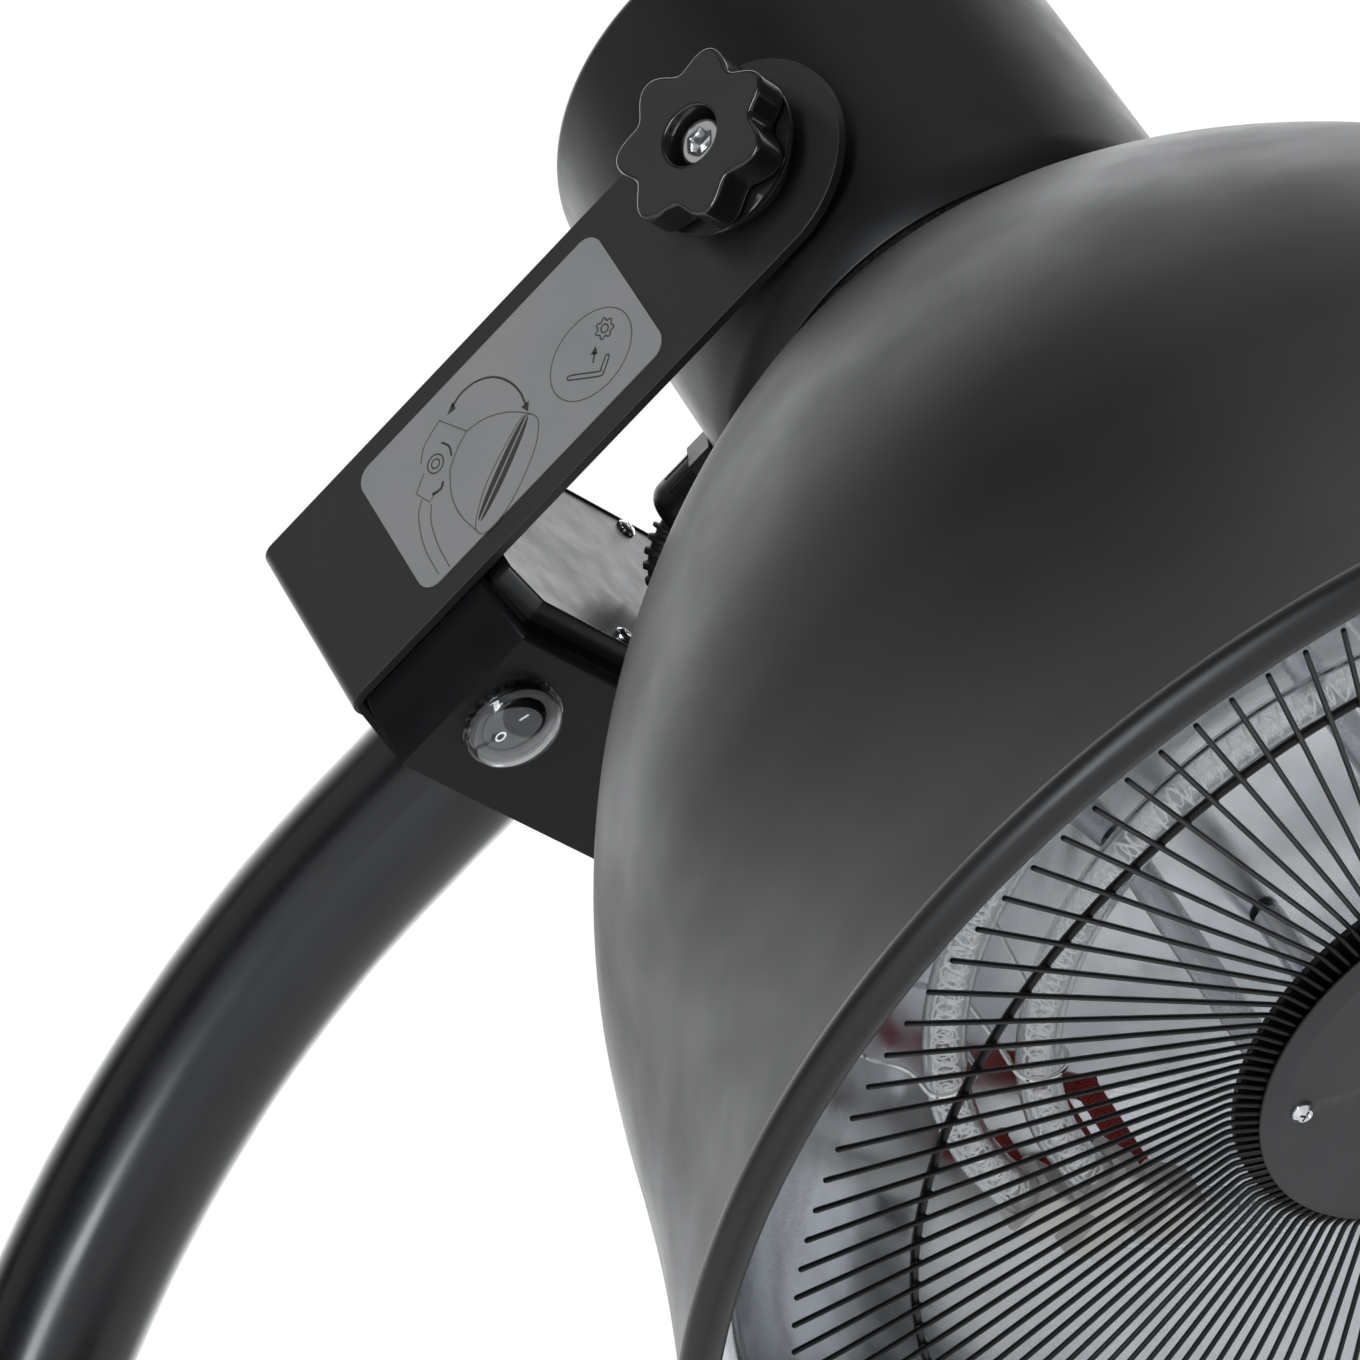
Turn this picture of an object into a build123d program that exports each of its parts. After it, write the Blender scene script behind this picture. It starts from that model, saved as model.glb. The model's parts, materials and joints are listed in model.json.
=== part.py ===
from build123d import *
import os
from math import sin, cos, tan, radians, degrees, atan2, hypot, sqrt, pi

os.makedirs("parts", exist_ok=True)

# ---------------------------------------------------------------- dimensions
# Row frame: X across, -Y to the front (the way the head looks), Z up.
# Head frame: x = p (across), y = l (up the bracket arm), z = w (out of the dome),
# with its origin on the tilt pivot.
LEAN = 31.466            # the bracket arm rises this many degrees, forwards
PIV_Y = -34.874            # pivot, row frame
PIV_Z = 1990.0

TUBE_R = 22.15           # stand tube, outer radius
TUBE_T = 1.8             # its wall
TUBE_W = 1.0             # tube centre in the head frame at the bracket
ARC_STRAIGHT = 44.0      # straight stretch at the bracket
ARC_R = 300.0            # centreline radius of the bend
JOINT_Z = 1100.0         # where the arc tube meets the lower pole

BASE_R = 250.0           # base plate
BASE_T = 12.0
FOOT_H = 8.0
FOOT_PCR = 214.0
POLE_OFF = 150.0         # pole behind the base's centre

ARM_OUT = 74.0           # bracket, outer half width
ARM_T = 3.0
ARM_HALF = 29.5          # half the arm's width, and its end radius
ARM_L = 166.5            # pivot to the bracket base's outer face

BOX_FRONT = 47.7         # switch box
BOX_BACK = -38.0
BOX_TOP = -118.0
BOX_SIDE = 70.4
BOX_FACE = 64.0          # half width of the front face
BOX_T = 1.5
LID_TOP = -112.5
LID_FRONT = 39.3
LID_BACK = -37.9
LID_SIDE = 66.0
LID_FACE = 58.8

SW_P, SW_L = -46.4, -141.0   # switch centre on the front face
SW_TRAVEL = 16.0

CAN_R = 68.0             # lamp can
CAN_T = 1.5
CAN_BACK = -79.0
CAN_FRONT = 44.0

# dome: outer profile, (w, r)
DOME = [(44.0, 62.9), (67.6, 91.2), (91.2, 115.1), (114.9, 134.8), (138.5, 150.7),
        (162.2, 163.0), (185.8, 172.3), (209.4, 178.8), (233.1, 183.8),
        (256.7, 189.4), (280.3, 196.4), (304.0, 204.6), (320.0, 210.6)]
DOME_T = 1.2
BEAD_R, BEAD_W, BEAD_r = 210.3, 323.0, 4.7    # rolled lip

# reflector, front surface, (r, w)
REFL = [(0.0, 197.0), (40.0, 198.5), (80.0, 206.5), (115.0, 221.0), (145.0, 240.5),
        (168.0, 262.0), (181.0, 281.0)]
REFL_T = 0.8

LAMP_r = 5.3             # quartz tube radius
LAMP_O = (108.0, 238.0)  # outer ring lamp: centreline r, w
LAMP_I = (89.7, 250.0)   # inner ring lamp
LAMP_AZ = -86.0          # where both lamps have their ends

N_WIRE = 120             # grille
WIRE_r = 0.68
WIRE_END = 178.0
WIRE_W = 287.0
WIRE_RISE = 8.67         # the wires rise outwards, degrees
RING_R, RING_r = 144.5, 1.1
KINK_R, WIRE_IN = 59.5, 51.0
CAP_R, CAP_FACE = 53.7, 48.5

KNOB_R, KNOB_VAL = 23.5, 18.5
KNOB_FACE = ARM_OUT + 22.0
KNOB_LOBES = 7
KNOB_PHASE = -20.0

# ---------------------------------------------------------------- helpers
sL, cL = sin(radians(LEAN)), cos(radians(LEAN))
HEAD = Plane(origin=(0, PIV_Y, PIV_Z), x_dir=(1, 0, 0), z_dir=(0, -sL, -cL)).location


def row(p, l, w):
    """head frame point in the row frame"""
    return (p, PIV_Y - sL * w - cL * l, PIV_Z - cL * w + sL * l)


def rev(pts):
    """solid of revolution about z from (r, z) points"""
    return revolve(make_face(Polyline(*[(r, 0, z) for r, z in pts], close=True)), Axis.Z)


def loop(*curves):
    """face inside a closed chain of curves"""
    return make_face(Wire([e for c in curves for e in c.edges()]))


def cyl(r, a, b, c=(0, 0), axis="z"):
    """cylinder of radius r from a to b along an axis, centred on c in the other two"""
    s = Cylinder(r, b - a, align=(Align.CENTER, Align.CENTER, Align.MIN))
    if axis == "z":
        return Pos(c[0], c[1], a) * s
    if axis == "x":
        return Pos(a, c[0], c[1]) * Rot(0, 90, 0) * s
    return Pos(c[0], a, c[1]) * Rot(-90, 0, 0) * s     # y


def hexa(r, a, b, c=(0, 0), axis="z"):
    s = extrude(RegularPolygon(r, 6), b - a)
    if axis == "z":
        return Pos(c[0], c[1], a) * s
    if axis == "x":
        return Pos(a, c[0], c[1]) * Rot(0, 90, 0) * s
    return Pos(c[0], a, c[1]) * Rot(-90, 0, 0) * s


def block(x0, x1, y0, y1, z0, z1):
    return Pos((x0 + x1) / 2, (y0 + y1) / 2, (z0 + z1) / 2) * Box(x1 - x0, y1 - y0, z1 - z0)


def prism(pts, y0, y1):
    """outline of (x, z) points extruded along y"""
    f = make_face(Polyline(*[(x, y0, z) for x, z in pts], close=True))
    return extrude(f, amount=y1 - y0, dir=(0, 1, 0))


def polar(r, az, z):
    return (r * cos(radians(az)), r * sin(radians(az)), z)


def path_tube(pts, r, frac=0.45, label=""):
    """round tube on straight runs joined by tangent arcs; prints the arcs and checks the volume"""
    v = [Vector(*p) for p in pts]
    radii = []
    for a, b, c in zip(v, v[1:], v[2:]):
        turn = (b - a).get_angle(c - b)
        radii.append(frac * min((b - a).length, (c - b).length) / tan(radians(turn) / 2))
    line = FilletPolyline(*[tuple(p) for p in pts], radius=radii) if radii else Line(pts[0], pts[1])
    d = (v[1] - v[0]).normalized()
    s = sweep(Plane(origin=pts[0], z_dir=d) * Circle(r), path=line)
    print(label, "length %.1f" % line.length, "radii", [round(q, 1) for q in radii],
          "volume ratio %.4f" % (s.volume / (pi * r * r * line.length)))
    return s


def group(items):
    out = []
    for s in items:
        out += list(s.solids())
    return Compound(children=out) if len(out) > 1 else out[0]


NODES = {}


def put(name, shape, head=True):
    """write one node; shapes made in the head frame are moved to the row frame"""
    s = HEAD * shape if head else shape
    NODES[name] = s
    export_step(s, "parts/%s.step" % name)


# ---------------------------------------------------------------- stand
POLE_Y = PIV_Y + cL * ARM_L + cL * ARC_STRAIGHT + ARC_R - sL * ARC_R - sL * TUBE_W
BASE_Y = POLE_Y - POLE_OFF
z_b0, z_b1 = FOOT_H, FOOT_H + BASE_T
print("pole y", POLE_Y, "base y", BASE_Y)

SOCK_H = 90.0
bolt_at = [(52 * cos(radians(45 + 90 * k)), POLE_Y + 52 * sin(radians(45 + 90 * k))) for k in range(4)]
base = cyl(BASE_R, z_b0, z_b1, (0, BASE_Y))
base = fillet(base.edges().sort_by(Axis.Z)[-1], 4)
base = chamfer(base.edges().sort_by(Axis.Z)[0], 1)
for b in bolt_at:
    base -= cyl(4.0, z_b0 - 1, z_b1 + 1, b)
feet_at = [(FOOT_PCR * cos(radians(30 + 60 * k)), BASE_Y + FOOT_PCR * sin(radians(30 + 60 * k))) for k in range(6)]
for f in feet_at:
    base -= cyl(2.5, z_b0 - 1, z_b0 + 8, f)
put("base_plate", base, False)
foot = rev([(0, 3.0), (4.5, 3.0), (4.5, 0), (15, 0), (17, 1.5), (16, FOOT_H), (0, FOOT_H)])
fscrew = rev([(0, 0.6), (4.3, 0.6), (4.3, 3.0), (2.5, 3.0), (2.5, 15.5), (0, 15.5)])
# the foot is bored through for its screw
foot_b = foot - cyl(2.5, 2.0, FOOT_H + 1)
put("rubber_feet", group([Pos(f[0], f[1], 0) * foot_b for f in feet_at]), False)
put("foot_screws", group([Pos(f[0], f[1], 0) * fscrew for f in feet_at]), False)

sock = cyl(68, z_b1, z_b1 + 5, (0, POLE_Y)) + cyl(26, z_b1, z_b1 + SOCK_H, (0, POLE_Y))
sock = fillet(sock.edges().filter_by(GeomType.CIRCLE).sort_by(Axis.Z)[-1], 1.2)
sock -= cyl(TUBE_R + 0.05, z_b1 + 5, z_b1 + SOCK_H + 1, (0, POLE_Y))
sock -= cyl(8, z_b1 - 1, z_b1 + 6, (0, POLE_Y))
for b in bolt_at:
    sock -= cyl(4.3, z_b1 - 1, z_b1 + 6, b)
for a in (0, 180):
    sock -= Pos(0, POLE_Y, z_b1 + 60) * Rot(0, 90, a) * cyl(3.0, TUBE_R - 4, 30)
put("pole_socket", sock, False)
put("base_bolts", group([cyl(4.0, z_b0 + 1, z_b1 + 5, b) + cyl(8.5, z_b1 + 5, z_b1 + 6.6, b)
                         + hexa(7.5, z_b1 + 6.6, z_b1 + 12, b) for b in bolt_at]), False)
sscrew = cyl(3.0, TUBE_R, 26.6) + cyl(5.0, 26.6, 30.0) - hexa(2.9, 28.0, 31.0)
put("socket_screws", group([Pos(0, POLE_Y, z_b1 + 60) * Rot(0, 90, a) * sscrew for a in (0, 180)]), False)

lower = cyl(TUBE_R, z_b1 + 5, JOINT_Z, (0, POLE_Y)) - cyl(TUBE_R - TUBE_T, z_b1, JOINT_Z + 1, (0, POLE_Y))
GL_Z = z_b1 + SOCK_H + 34
lower -= cyl(7.0, POLE_Y + 5, POLE_Y + 30, (0, GL_Z), "y")
for z in (JOINT_Z - 45,):
    lower -= cyl(3.0, POLE_Y + 5, POLE_Y + 30, (0, z), "y")
put("lower_pole", lower, False)
g = cyl(7.0, POLE_Y + TUBE_R - 4, POLE_Y + TUBE_R + 4, (0, GL_Z), "y")
g += hexa(11.5, POLE_Y + TUBE_R + 0.2, POLE_Y + TUBE_R + 6, (0, GL_Z), "y")
g += cyl(9.5, POLE_Y + TUBE_R + 6, POLE_Y + TUBE_R + 16, (0, GL_Z), "y")
g = fillet(g.edges().filter_by(GeomType.CIRCLE).sort_by(Axis.Y)[-1], 3)
g -= cyl(4.0, POLE_Y, POLE_Y + TUBE_R + 20, (0, GL_Z), "y")
put("cord_gland", g, False)

coup = cyl(TUBE_R - TUBE_T, JOINT_Z - 80, JOINT_Z + 80, (0, POLE_Y)) - cyl(TUBE_R - TUBE_T - 2.5, JOINT_Z - 81, JOINT_Z + 81, (0, POLE_Y))
for z in (JOINT_Z - 45, JOINT_Z + 45):
    coup -= cyl(3.0, POLE_Y + 5, POLE_Y + 30, (0, z), "y")
put("pole_coupler", coup, False)
cs = [cyl(3.0, POLE_Y + 14.0, POLE_Y + TUBE_R + 0.1, (0, z), "y")
      + cyl(5.2, POLE_Y + TUBE_R + 0.1, POLE_Y + TUBE_R + 2.6, (0, z), "y")
      - hexa(2.3, POLE_Y + TUBE_R + 1.0, POLE_Y + TUBE_R + 4, (0, z), "y") for z in (JOINT_Z - 45, JOINT_Z + 45)]
put("coupler_screws", group(cs), False)

# arc tube: straight out of the bracket, one long bend, straight down
A0 = Vector(*row(0, -ARM_L, TUBE_W))
A1 = Vector(*row(0, -ARM_L - ARC_STRAIGHT, TUBE_W))
AC = Vector(*row(0, -ARM_L - ARC_STRAIGHT, TUBE_W + ARC_R))
A2 = AC + Vector(0, ARC_R, 0)
mid_ang = radians((90 - LEAN) / 2)
# half way round the bend, from the vertical end
AM = AC + Vector(0, ARC_R * cos(mid_ang), ARC_R * sin(mid_ang))
A3 = Vector(0, A2.Y, JOINT_Z)
arc_line = Wire([e for c in (Line(A0, A1), ThreePointArc(A1, AM, A2), Line(A2, A3)) for e in c.edges()])
sec = Plane(origin=A0, z_dir=(A1 - A0).normalized())
arc = sweep(sec * Circle(TUBE_R), path=arc_line) - sweep(sec * Circle(TUBE_R - TUBE_T), path=arc_line)
arc -= cyl(3.0, POLE_Y + 5, POLE_Y + 30, (0, JOINT_Z + 45), "y")
put("arc_tube", arc, False)
print("arc end z", A2.Z, "y", A2.Y)

# ---------------------------------------------------------------- bracket and switch box (head frame)
TB = -ARM_L + ARM_T                      # inner face of the bracket base
hole3 = [(13.5 * cos(radians(90 + 120 * k)), TUBE_W + 13.5 * sin(radians(90 + 120 * k))) for k in range(3)]
plug = cyl(TUBE_R - TUBE_T, -ARM_L - 8, -ARM_L, (0, TUBE_W), "y") - cyl(6, -ARM_L - 9, -ARM_L + 1, (0, TUBE_W), "y")
for h in hole3:
    plug -= cyl(3.0, -ARM_L - 9, -ARM_L + 1, h, "y")
put("tube_plug", plug)

u = Polyline((-ARM_OUT, 30, 0), (-ARM_OUT, -ARM_L, 0), (ARM_OUT, -ARM_L, 0), (ARM_OUT, 30, 0),
             (ARM_OUT - ARM_T, 30, 0), (ARM_OUT - ARM_T, TB, 0), (-ARM_OUT + ARM_T, TB, 0),
             (-ARM_OUT + ARM_T, 30, 0), close=True)
br = Pos(0, 0, -ARM_HALF) * extrude(make_face(u), amount=2 * ARM_HALF, dir=(0, 0, 1))
ev = br.edges().filter_by(Axis.Z)
br = fillet([e for e in ev if abs(e.center().Y + ARM_L) < 0.1], 5.0)
ev = br.edges().filter_by(Axis.Z)
br = fillet([e for e in ev if abs(e.center().Y - TB) < 0.1], 2.0)
keep = block(-80, 80, -180, 0, -ARM_HALF, ARM_HALF) + cyl(ARM_HALF, -80, 80, (0, 0), "x")
br = br & keep
br -= cyl(4.4, -80, 80, (0, 0), "x")
br -= cyl(7, -ARM_L - 1, TB + 1, (0, TUBE_W), "y")
for h in hole3:
    br -= cyl(3.2, -ARM_L - 1, TB + 1, h, "y")
put("bracket", br)


def outline(side, face, front, back, ch=29.6, chb=-31.0):
    return [(-side, ch), (-face, front), (face, front), (side, ch), (side, chb), (face, back), (-face, back), (-side, chb)]


FL = TB + BOX_T
bx = prism(outline(BOX_SIDE, BOX_FACE, BOX_FRONT, BOX_BACK), TB, BOX_TOP)
bx = fillet([e for e in bx.edges() if abs(e.center().Y - TB) < 0.05 and abs(e.center().X) > BOX_SIDE - 0.1], 2.3)
# front and back hang over the bracket base, flush with its underside
for sgn in (1, -1):
    skirt = prism(outline(BOX_SIDE, BOX_FACE, BOX_FRONT, BOX_BACK), -ARM_L + 1.0, TB)
    skirt &= block(-80, 80, -170, -150, 29.9, 60) if sgn > 0 else block(-80, 80, -170, -150, -60, -29.9)
    bx += skirt
bx = fillet([e for e in bx.edges() if abs(e.center().Y - BOX_TOP) < 0.05], 2.5)
bx -= prism(outline(BOX_SIDE - BOX_T, BOX_FACE - BOX_T, BOX_FRONT - BOX_T, BOX_BACK + BOX_T), FL, BOX_TOP - BOX_T)
bx -= prism(outline(LID_SIDE - 5.5, LID_FACE - 5.5, LID_FRONT - 6, LID_BACK + 8), BOX_TOP - 3, BOX_TOP + 1)
bx -= cyl(10.0, BOX_FRONT - 5, BOX_FRONT + 1, (SW_P, SW_L), "z")
bx -= cyl(7, TB - 1, FL + 1, (0, TUBE_W), "y")
for h in hole3:
    bx -= cyl(3.2, TB - 1, FL + 1, h, "y")
lid_scr = [(-22.6, 34.0), (22.6, 34.0), (-22.6, -33.4), (22.6, -33.4)]
for s in lid_scr:
    bx -= cyl(1.5, BOX_TOP - 3, BOX_TOP + 1, s, "y")
put("switch_box", bx)

LE = (53.0, -9.0)      # where the flex enters the lid, (p, w)
ld = prism(outline(LID_SIDE, LID_FACE, LID_FRONT, LID_BACK, 29.0, -33.0), BOX_TOP, LID_TOP)
ld = fillet([e for e in ld.edges() if abs(e.center().Y - LID_TOP) < 0.05], 0.8)
ld -= prism(outline(LID_SIDE - 1.2, LID_FACE - 1.2, LID_FRONT - 1.2, LID_BACK + 1.2, 29.0, -33.0), BOX_TOP - 1, LID_TOP - 1.2)
# screw bosses stand on the box's rim, under the lid
bosses = [cyl(3.2, BOX_TOP, LID_TOP - 0.6, s, "y") for s in lid_scr]
for b in bosses:
    ld += b
for s in lid_scr:
    ld -= cyl(1.7, BOX_TOP - 1, LID_TOP + 1, s, "y")
ld -= cyl(6.5, LID_TOP - 3, LID_TOP + 1, LE, "y")
put("box_lid", ld)
ls = [cyl(1.5, BOX_TOP - 6, LID_TOP, s, "y") + cyl(2.9, LID_TOP, LID_TOP + 1.6, s, "y")
      - block(s[0] - 1.9, s[0] + 1.9, LID_TOP + 0.9, LID_TOP + 2, s[1] - 0.35, s[1] + 0.35)
      - block(s[0] - 0.35, s[0] + 0.35, LID_TOP + 0.9, LID_TOP + 2, s[1] - 1.9, s[1] + 1.9) for s in lid_scr]
put("lid_screws", group(ls))
bs = [cyl(3.0, -ARM_L - 7, FL, h, "y") + cyl(5.2, FL, FL + 5, h, "y") - hexa(2.9, FL + 2, FL + 6, h, "y") for h in hole3]
put("bracket_screws", group(bs))

# terminal block on the box floor
tb = block(18, 56, FL, FL + 16, -2, 16)
for k in range(3):
    tb -= cyl(2.2, FL + 6, FL + 17, (24.5 + 12.5 * k, 2.5), "y")
    tb -= cyl(2.2, FL + 6, FL + 17, (24.5 + 12.5 * k, 11.5), "y")
put("box_terminal_block", tb)

# round rocker switch: body, rocker, clear cap
F = BOX_FRONT
PZ = F - 3.7            # rocker's axis
pin = cyl(0.95, SW_P - 9.4, SW_P + 9.4, (SW_L, PZ), "x")
sb = cyl(11.4, F, F + 1.8, (SW_P, SW_L)) + cyl(9.95, F - 18, F, (SW_P, SW_L))
sb -= cyl(8.9, F - 9.5, F + 3, (SW_P, SW_L))
for dx in (-4, 4):
    sb += block(SW_P + dx - 0.4, SW_P + dx + 0.4, SW_L - 2.4, SW_L + 2.4, F - 27, F - 18)
sb -= pin
put("switch_body", sb)
rk = cyl(7.8, -4.2, 9.0)
for sgn in (1, -1):
    rk -= Pos(0, 0, 5.2) * Rot(8.0 * sgn, 0, 0) * block(-12, 12, 0 if sgn > 0 else -14, 14 if sgn > 0 else 0, 0, 10)
rk -= cyl(1.0, -9, 9, (0, 0), "x")
rk = Rot(SW_TRAVEL / 2, 0, 0) * rk
put("rocker", Pos(SW_P, SW_L, PZ) * rk)
put("rocker_pin", pin)
# clear cap: a short skirt, a groove and a shallow spherical top
CO, CI = 18.125, 17.1
CZ = 9.6 - CO


def on_cap(R, r):
    return (r, 0, CZ + sqrt(R * R - r * r))


cap = revolve(loop(Polyline((11.6, 0, 0), (13.35, 0, 0), (13.35, 0, 2.4), (12.5, 0, 3.0), on_cap(CO, 12.5)),
                   ThreePointArc(on_cap(CO, 12.5), on_cap(CO, 6.7), (0, 0, CZ + CO)),
                   Line((0, 0, CZ + CO), (0, 0, CZ + CI)),
                   ThreePointArc((0, 0, CZ + CI), on_cap(CI, 6.2), on_cap(CI, 11.6)),
                   Line(on_cap(CI, 11.6), (11.6, 0, 0))), Axis.Z)
put("switch_cap", Pos(SW_P, SW_L, F) * cap)

# pictogram label on the near arm's outer face
lab = Pos(-ARM_OUT, -86.9, -0.2) * Rot(0, -90, 0) * extrude(RectangleRounded(46.2, 90.0, 5.0), 0.3)
put("arm_label", lab)

# ---------------------------------------------------------------- pivot
for side, name in ((-1, "left"), (1, "right")):
    # seven-lobe star knob, its outline an even wave between valley and lobe radius
    n = KNOB_LOBES * 8
    pts = []
    for i in range(n):
        a = radians(KNOB_PHASE) + 2 * pi * i / n
        c = 0.5 + 0.5 * cos(KNOB_LOBES * (a - radians(KNOB_PHASE)))
        rr = KNOB_VAL + (KNOB_R - KNOB_VAL) * c ** 0.9
        pts.append((rr * cos(a), rr * sin(a)))
    # local: x' -> w, y' -> l, z' -> outwards along p
    face = make_face(Spline(*pts, periodic=True))
    depth = 10.0
    kb = extrude(face, -depth)                            # from the outer face inwards
    kb = fillet(kb.edges().sort_by(Axis.Z)[-1], 1.2)
    kb += cyl(15.0, -21.0 + 2.5, -depth)
    kb += cyl(22.0, -13.6, -11.6)                         # round skirt behind the lobes
    kb += cyl(16.5, -21.0, -21.0 + 3.0)
    kb -= cyl(8.0, -12.0, 1)
    kb -= cyl(4.0, -22, -11)
    # flange rests on the washer, one millimetre off the arm
    bolt = cyl(6.4, -12.0, -4.0) + cyl(4.0, -41.0, -12.0) - hexa(3.4, -8.5, -3)
    # place: z' = side * X, x' = w, y' = l  (a proper turn on the left, mirrored lobes on the right)
    if side < 0:
        loc = Plane(origin=(-KNOB_FACE, 0, 0), x_dir=(0, 0, 1), z_dir=(-1, 0, 0)).location
    else:
        loc = Plane(origin=(KNOB_FACE, 0, 0), x_dir=(0, 0, 1), z_dir=(1, 0, 0)).location
    put("knob_" + name, loc * kb)
    put("pivot_bolt_" + name, loc * bolt)
wash = [cyl(14, -ARM_OUT - 1.0, -ARM_OUT, (0, 0), "x") - cyl(4.4, -90, 90, (0, 0), "x"),
        cyl(14, ARM_OUT, ARM_OUT + 1.0, (0, 0), "x") - cyl(4.4, -90, 90, (0, 0), "x")]
put("knob_washers", group(wash))
AI = ARM_OUT - ARM_T
fric = [cyl(13, -AI, -AI + 1.5, (0, 0), "x") - cyl(4.4, -90, 90, (0, 0), "x"),
        cyl(13, AI - 1.5, AI, (0, 0), "x") - cyl(4.4, -90, 90, (0, 0), "x")]
put("friction_washers", group(fric))
BI = AI - 1.5
bush = [cyl(11, -BI, -54, (0, 0), "x") - cyl(4.05, -90, 90, (0, 0), "x"),
        cyl(11, 54, BI, (0, 0), "x") - cyl(4.05, -90, 90, (0, 0), "x")]
put("pivot_bushes", group(bush))

# ---------------------------------------------------------------- can
ra = 4.0
cs_ = ra * (1 - cos(radians(45)))
can = revolve(loop(
    Line((0, 0, CAN_BACK), (CAN_R - ra, 0, CAN_BACK)),
    ThreePointArc((CAN_R - ra, 0, CAN_BACK), (CAN_R - cs_, 0, CAN_BACK + cs_), (CAN_R, 0, CAN_BACK + ra)),
    Polyline((CAN_R, 0, CAN_BACK + ra), (CAN_R, 0, CAN_FRONT), (CAN_R - CAN_T, 0, CAN_FRONT), (CAN_R - CAN_T, 0, CAN_BACK + ra)),
    ThreePointArc((CAN_R - CAN_T, 0, CAN_BACK + ra), (CAN_R - ra + (ra - CAN_T) * cos(radians(45)), 0, CAN_BACK + ra - (ra - CAN_T) * cos(radians(45))), (CAN_R - ra, 0, CAN_BACK + CAN_T)),
    Polyline((CAN_R - ra, 0, CAN_BACK + CAN_T), (0, 0, CAN_BACK + CAN_T), (0, 0, CAN_BACK))), Axis.Z)
can -= cyl(11, -90, 90, (0, 0), "x")
GLAND = (0.0, 0.0)      # p, w of the gland
can -= cyl(8.0, -80, -40, GLAND, "y")
put("can_shell", can)
ds_at = [polar(56, 45 + 90 * k, 0)[:2] for k in range(4)]
ring = cyl(CAN_R - CAN_T, CAN_FRONT - 3, CAN_FRONT) - cyl(48, CAN_FRONT - 4, CAN_FRONT + 1)
for d in ds_at:
    ring -= cyl(2.5, CAN_FRONT - 4, CAN_FRONT + 1, d)
put("can_ring", ring)

# gland under the can, with a ribbed bend protector
gl = cyl(8.0, -CAN_R - 4, -CAN_R + 6.0, GLAND, "y")
gl += hexa(12.6, -CAN_R - 8.0, -CAN_R - 0.6, GLAND, "y")
dn = cyl(11.2, -CAN_R - 24.0, -CAN_R - 8.0, GLAND, "y")
dn = fillet(dn.edges().filter_by(GeomType.CIRCLE).sort_by(Axis.Y)[0], 5.0)
gl += dn
for k in range(12):
    a = radians(30 * k)
    gl -= cyl(0.9, -CAN_R - 16.5, -CAN_R - 8.0, (GLAND[0] + 11.5 * cos(a), GLAND[1] + 11.5 * sin(a)), "y")
gl -= cyl(3.4, -CAN_R - 30, -CAN_R + 10, GLAND, "y")
put("can_gland", gl)
nut = hexa(12.0, -CAN_R + 2.6, -CAN_R + 6.0, GLAND, "y") - cyl(8.0, -80, 0, GLAND, "y")
put("gland_nut", nut)

# the flex between the gland and the lid: one slack loop lying over the lid
G_END = -CAN_R - 24.0
FX = 3.25
fx_pts = [(0, G_END - 0.4, 0), (0.5, G_END - 11.8, 3.5), (12.5, -106.5, 12.5), (28.0, -99.0, 15.5),
          (42.0, -88.0, 7.5), (52.5, -88.5, -5.0), (LE[0], -99.5, LE[1]), (LE[0], LID_TOP + 2.0, LE[1])]
print("flex runs", [round((Vector(*b) - Vector(*a)).length, 1) for a, b in zip(fx_pts, fx_pts[1:])])
flex = path_tube(fx_pts, FX, label="flex")
put("flex_lead", flex)
# ribbed entry boot on the lid
eb = cyl(6.5, LID_TOP - 2.6, LID_TOP, LE, "y") + cyl(9.0, LID_TOP, LID_TOP + 1.8, LE, "y") + cyl(8.4, LID_TOP - 3.4, LID_TOP - 1.2, LE, "y")
eb -= cyl(3.3, LID_TOP - 6, LID_TOP + 10, LE, "y")
put("lid_grommet", eb)

# ---------------------------------------------------------------- dome
def offset_profile(pts, t):
    out = []
    for i, (w, r) in enumerate(pts):
        a = pts[max(i - 1, 0)]
        b = pts[min(i + 1, len(pts) - 1)]
        dw, dr = b[0] - a[0], b[1] - a[1]
        n = hypot(dw, dr)
        out.append((w + t * dr / n, r - t * dw / n))
    return out


inner = offset_profile(DOME, DOME_T)
inner[0] = (CAN_FRONT + DOME_T, 62.45)
o_sp = Spline(*[(r, 0, w) for w, r in DOME])
i_sp = Spline(*[(r, 0, w) for w, r in reversed(inner)])
dome_face = loop(
    Line((47, 0, CAN_FRONT), (DOME[0][1], 0, CAN_FRONT)), o_sp,
    Line((DOME[-1][1], 0, DOME[-1][0]), (inner[-1][1], 0, inner[-1][0])), i_sp,
    Line((inner[0][1], 0, inner[0][0]), (47, 0, CAN_FRONT + DOME_T)),
    Line((47, 0, CAN_FRONT + DOME_T), (47, 0, CAN_FRONT)))
dome = revolve(dome_face, Axis.Z)
bead = Torus(BEAD_R, BEAD_r)
dome = dome + Pos(0, 0, BEAD_W) * bead
for d in ds_at:
    dome -= cyl(2.6, CAN_FRONT - 2, CAN_FRONT + 3, d)
put("dome", dome)
dsc = [cyl(2.5, CAN_FRONT - 7, CAN_FRONT + DOME_T, d) + cyl(4.8, CAN_FRONT + DOME_T, CAN_FRONT + DOME_T + 3, d)
       - block(d[0] - 2.4, d[0] + 2.4, d[1] - 0.45, d[1] + 0.45, CAN_FRONT + DOME_T + 1.6, CAN_FRONT + DOME_T + 4)
       - block(d[0] - 0.45, d[0] + 0.45, d[1] - 2.4, d[1] + 2.4, CAN_FRONT + DOME_T + 1.6, CAN_FRONT + DOME_T + 4) for d in ds_at]
put("dome_screws", group(dsc))

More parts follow.
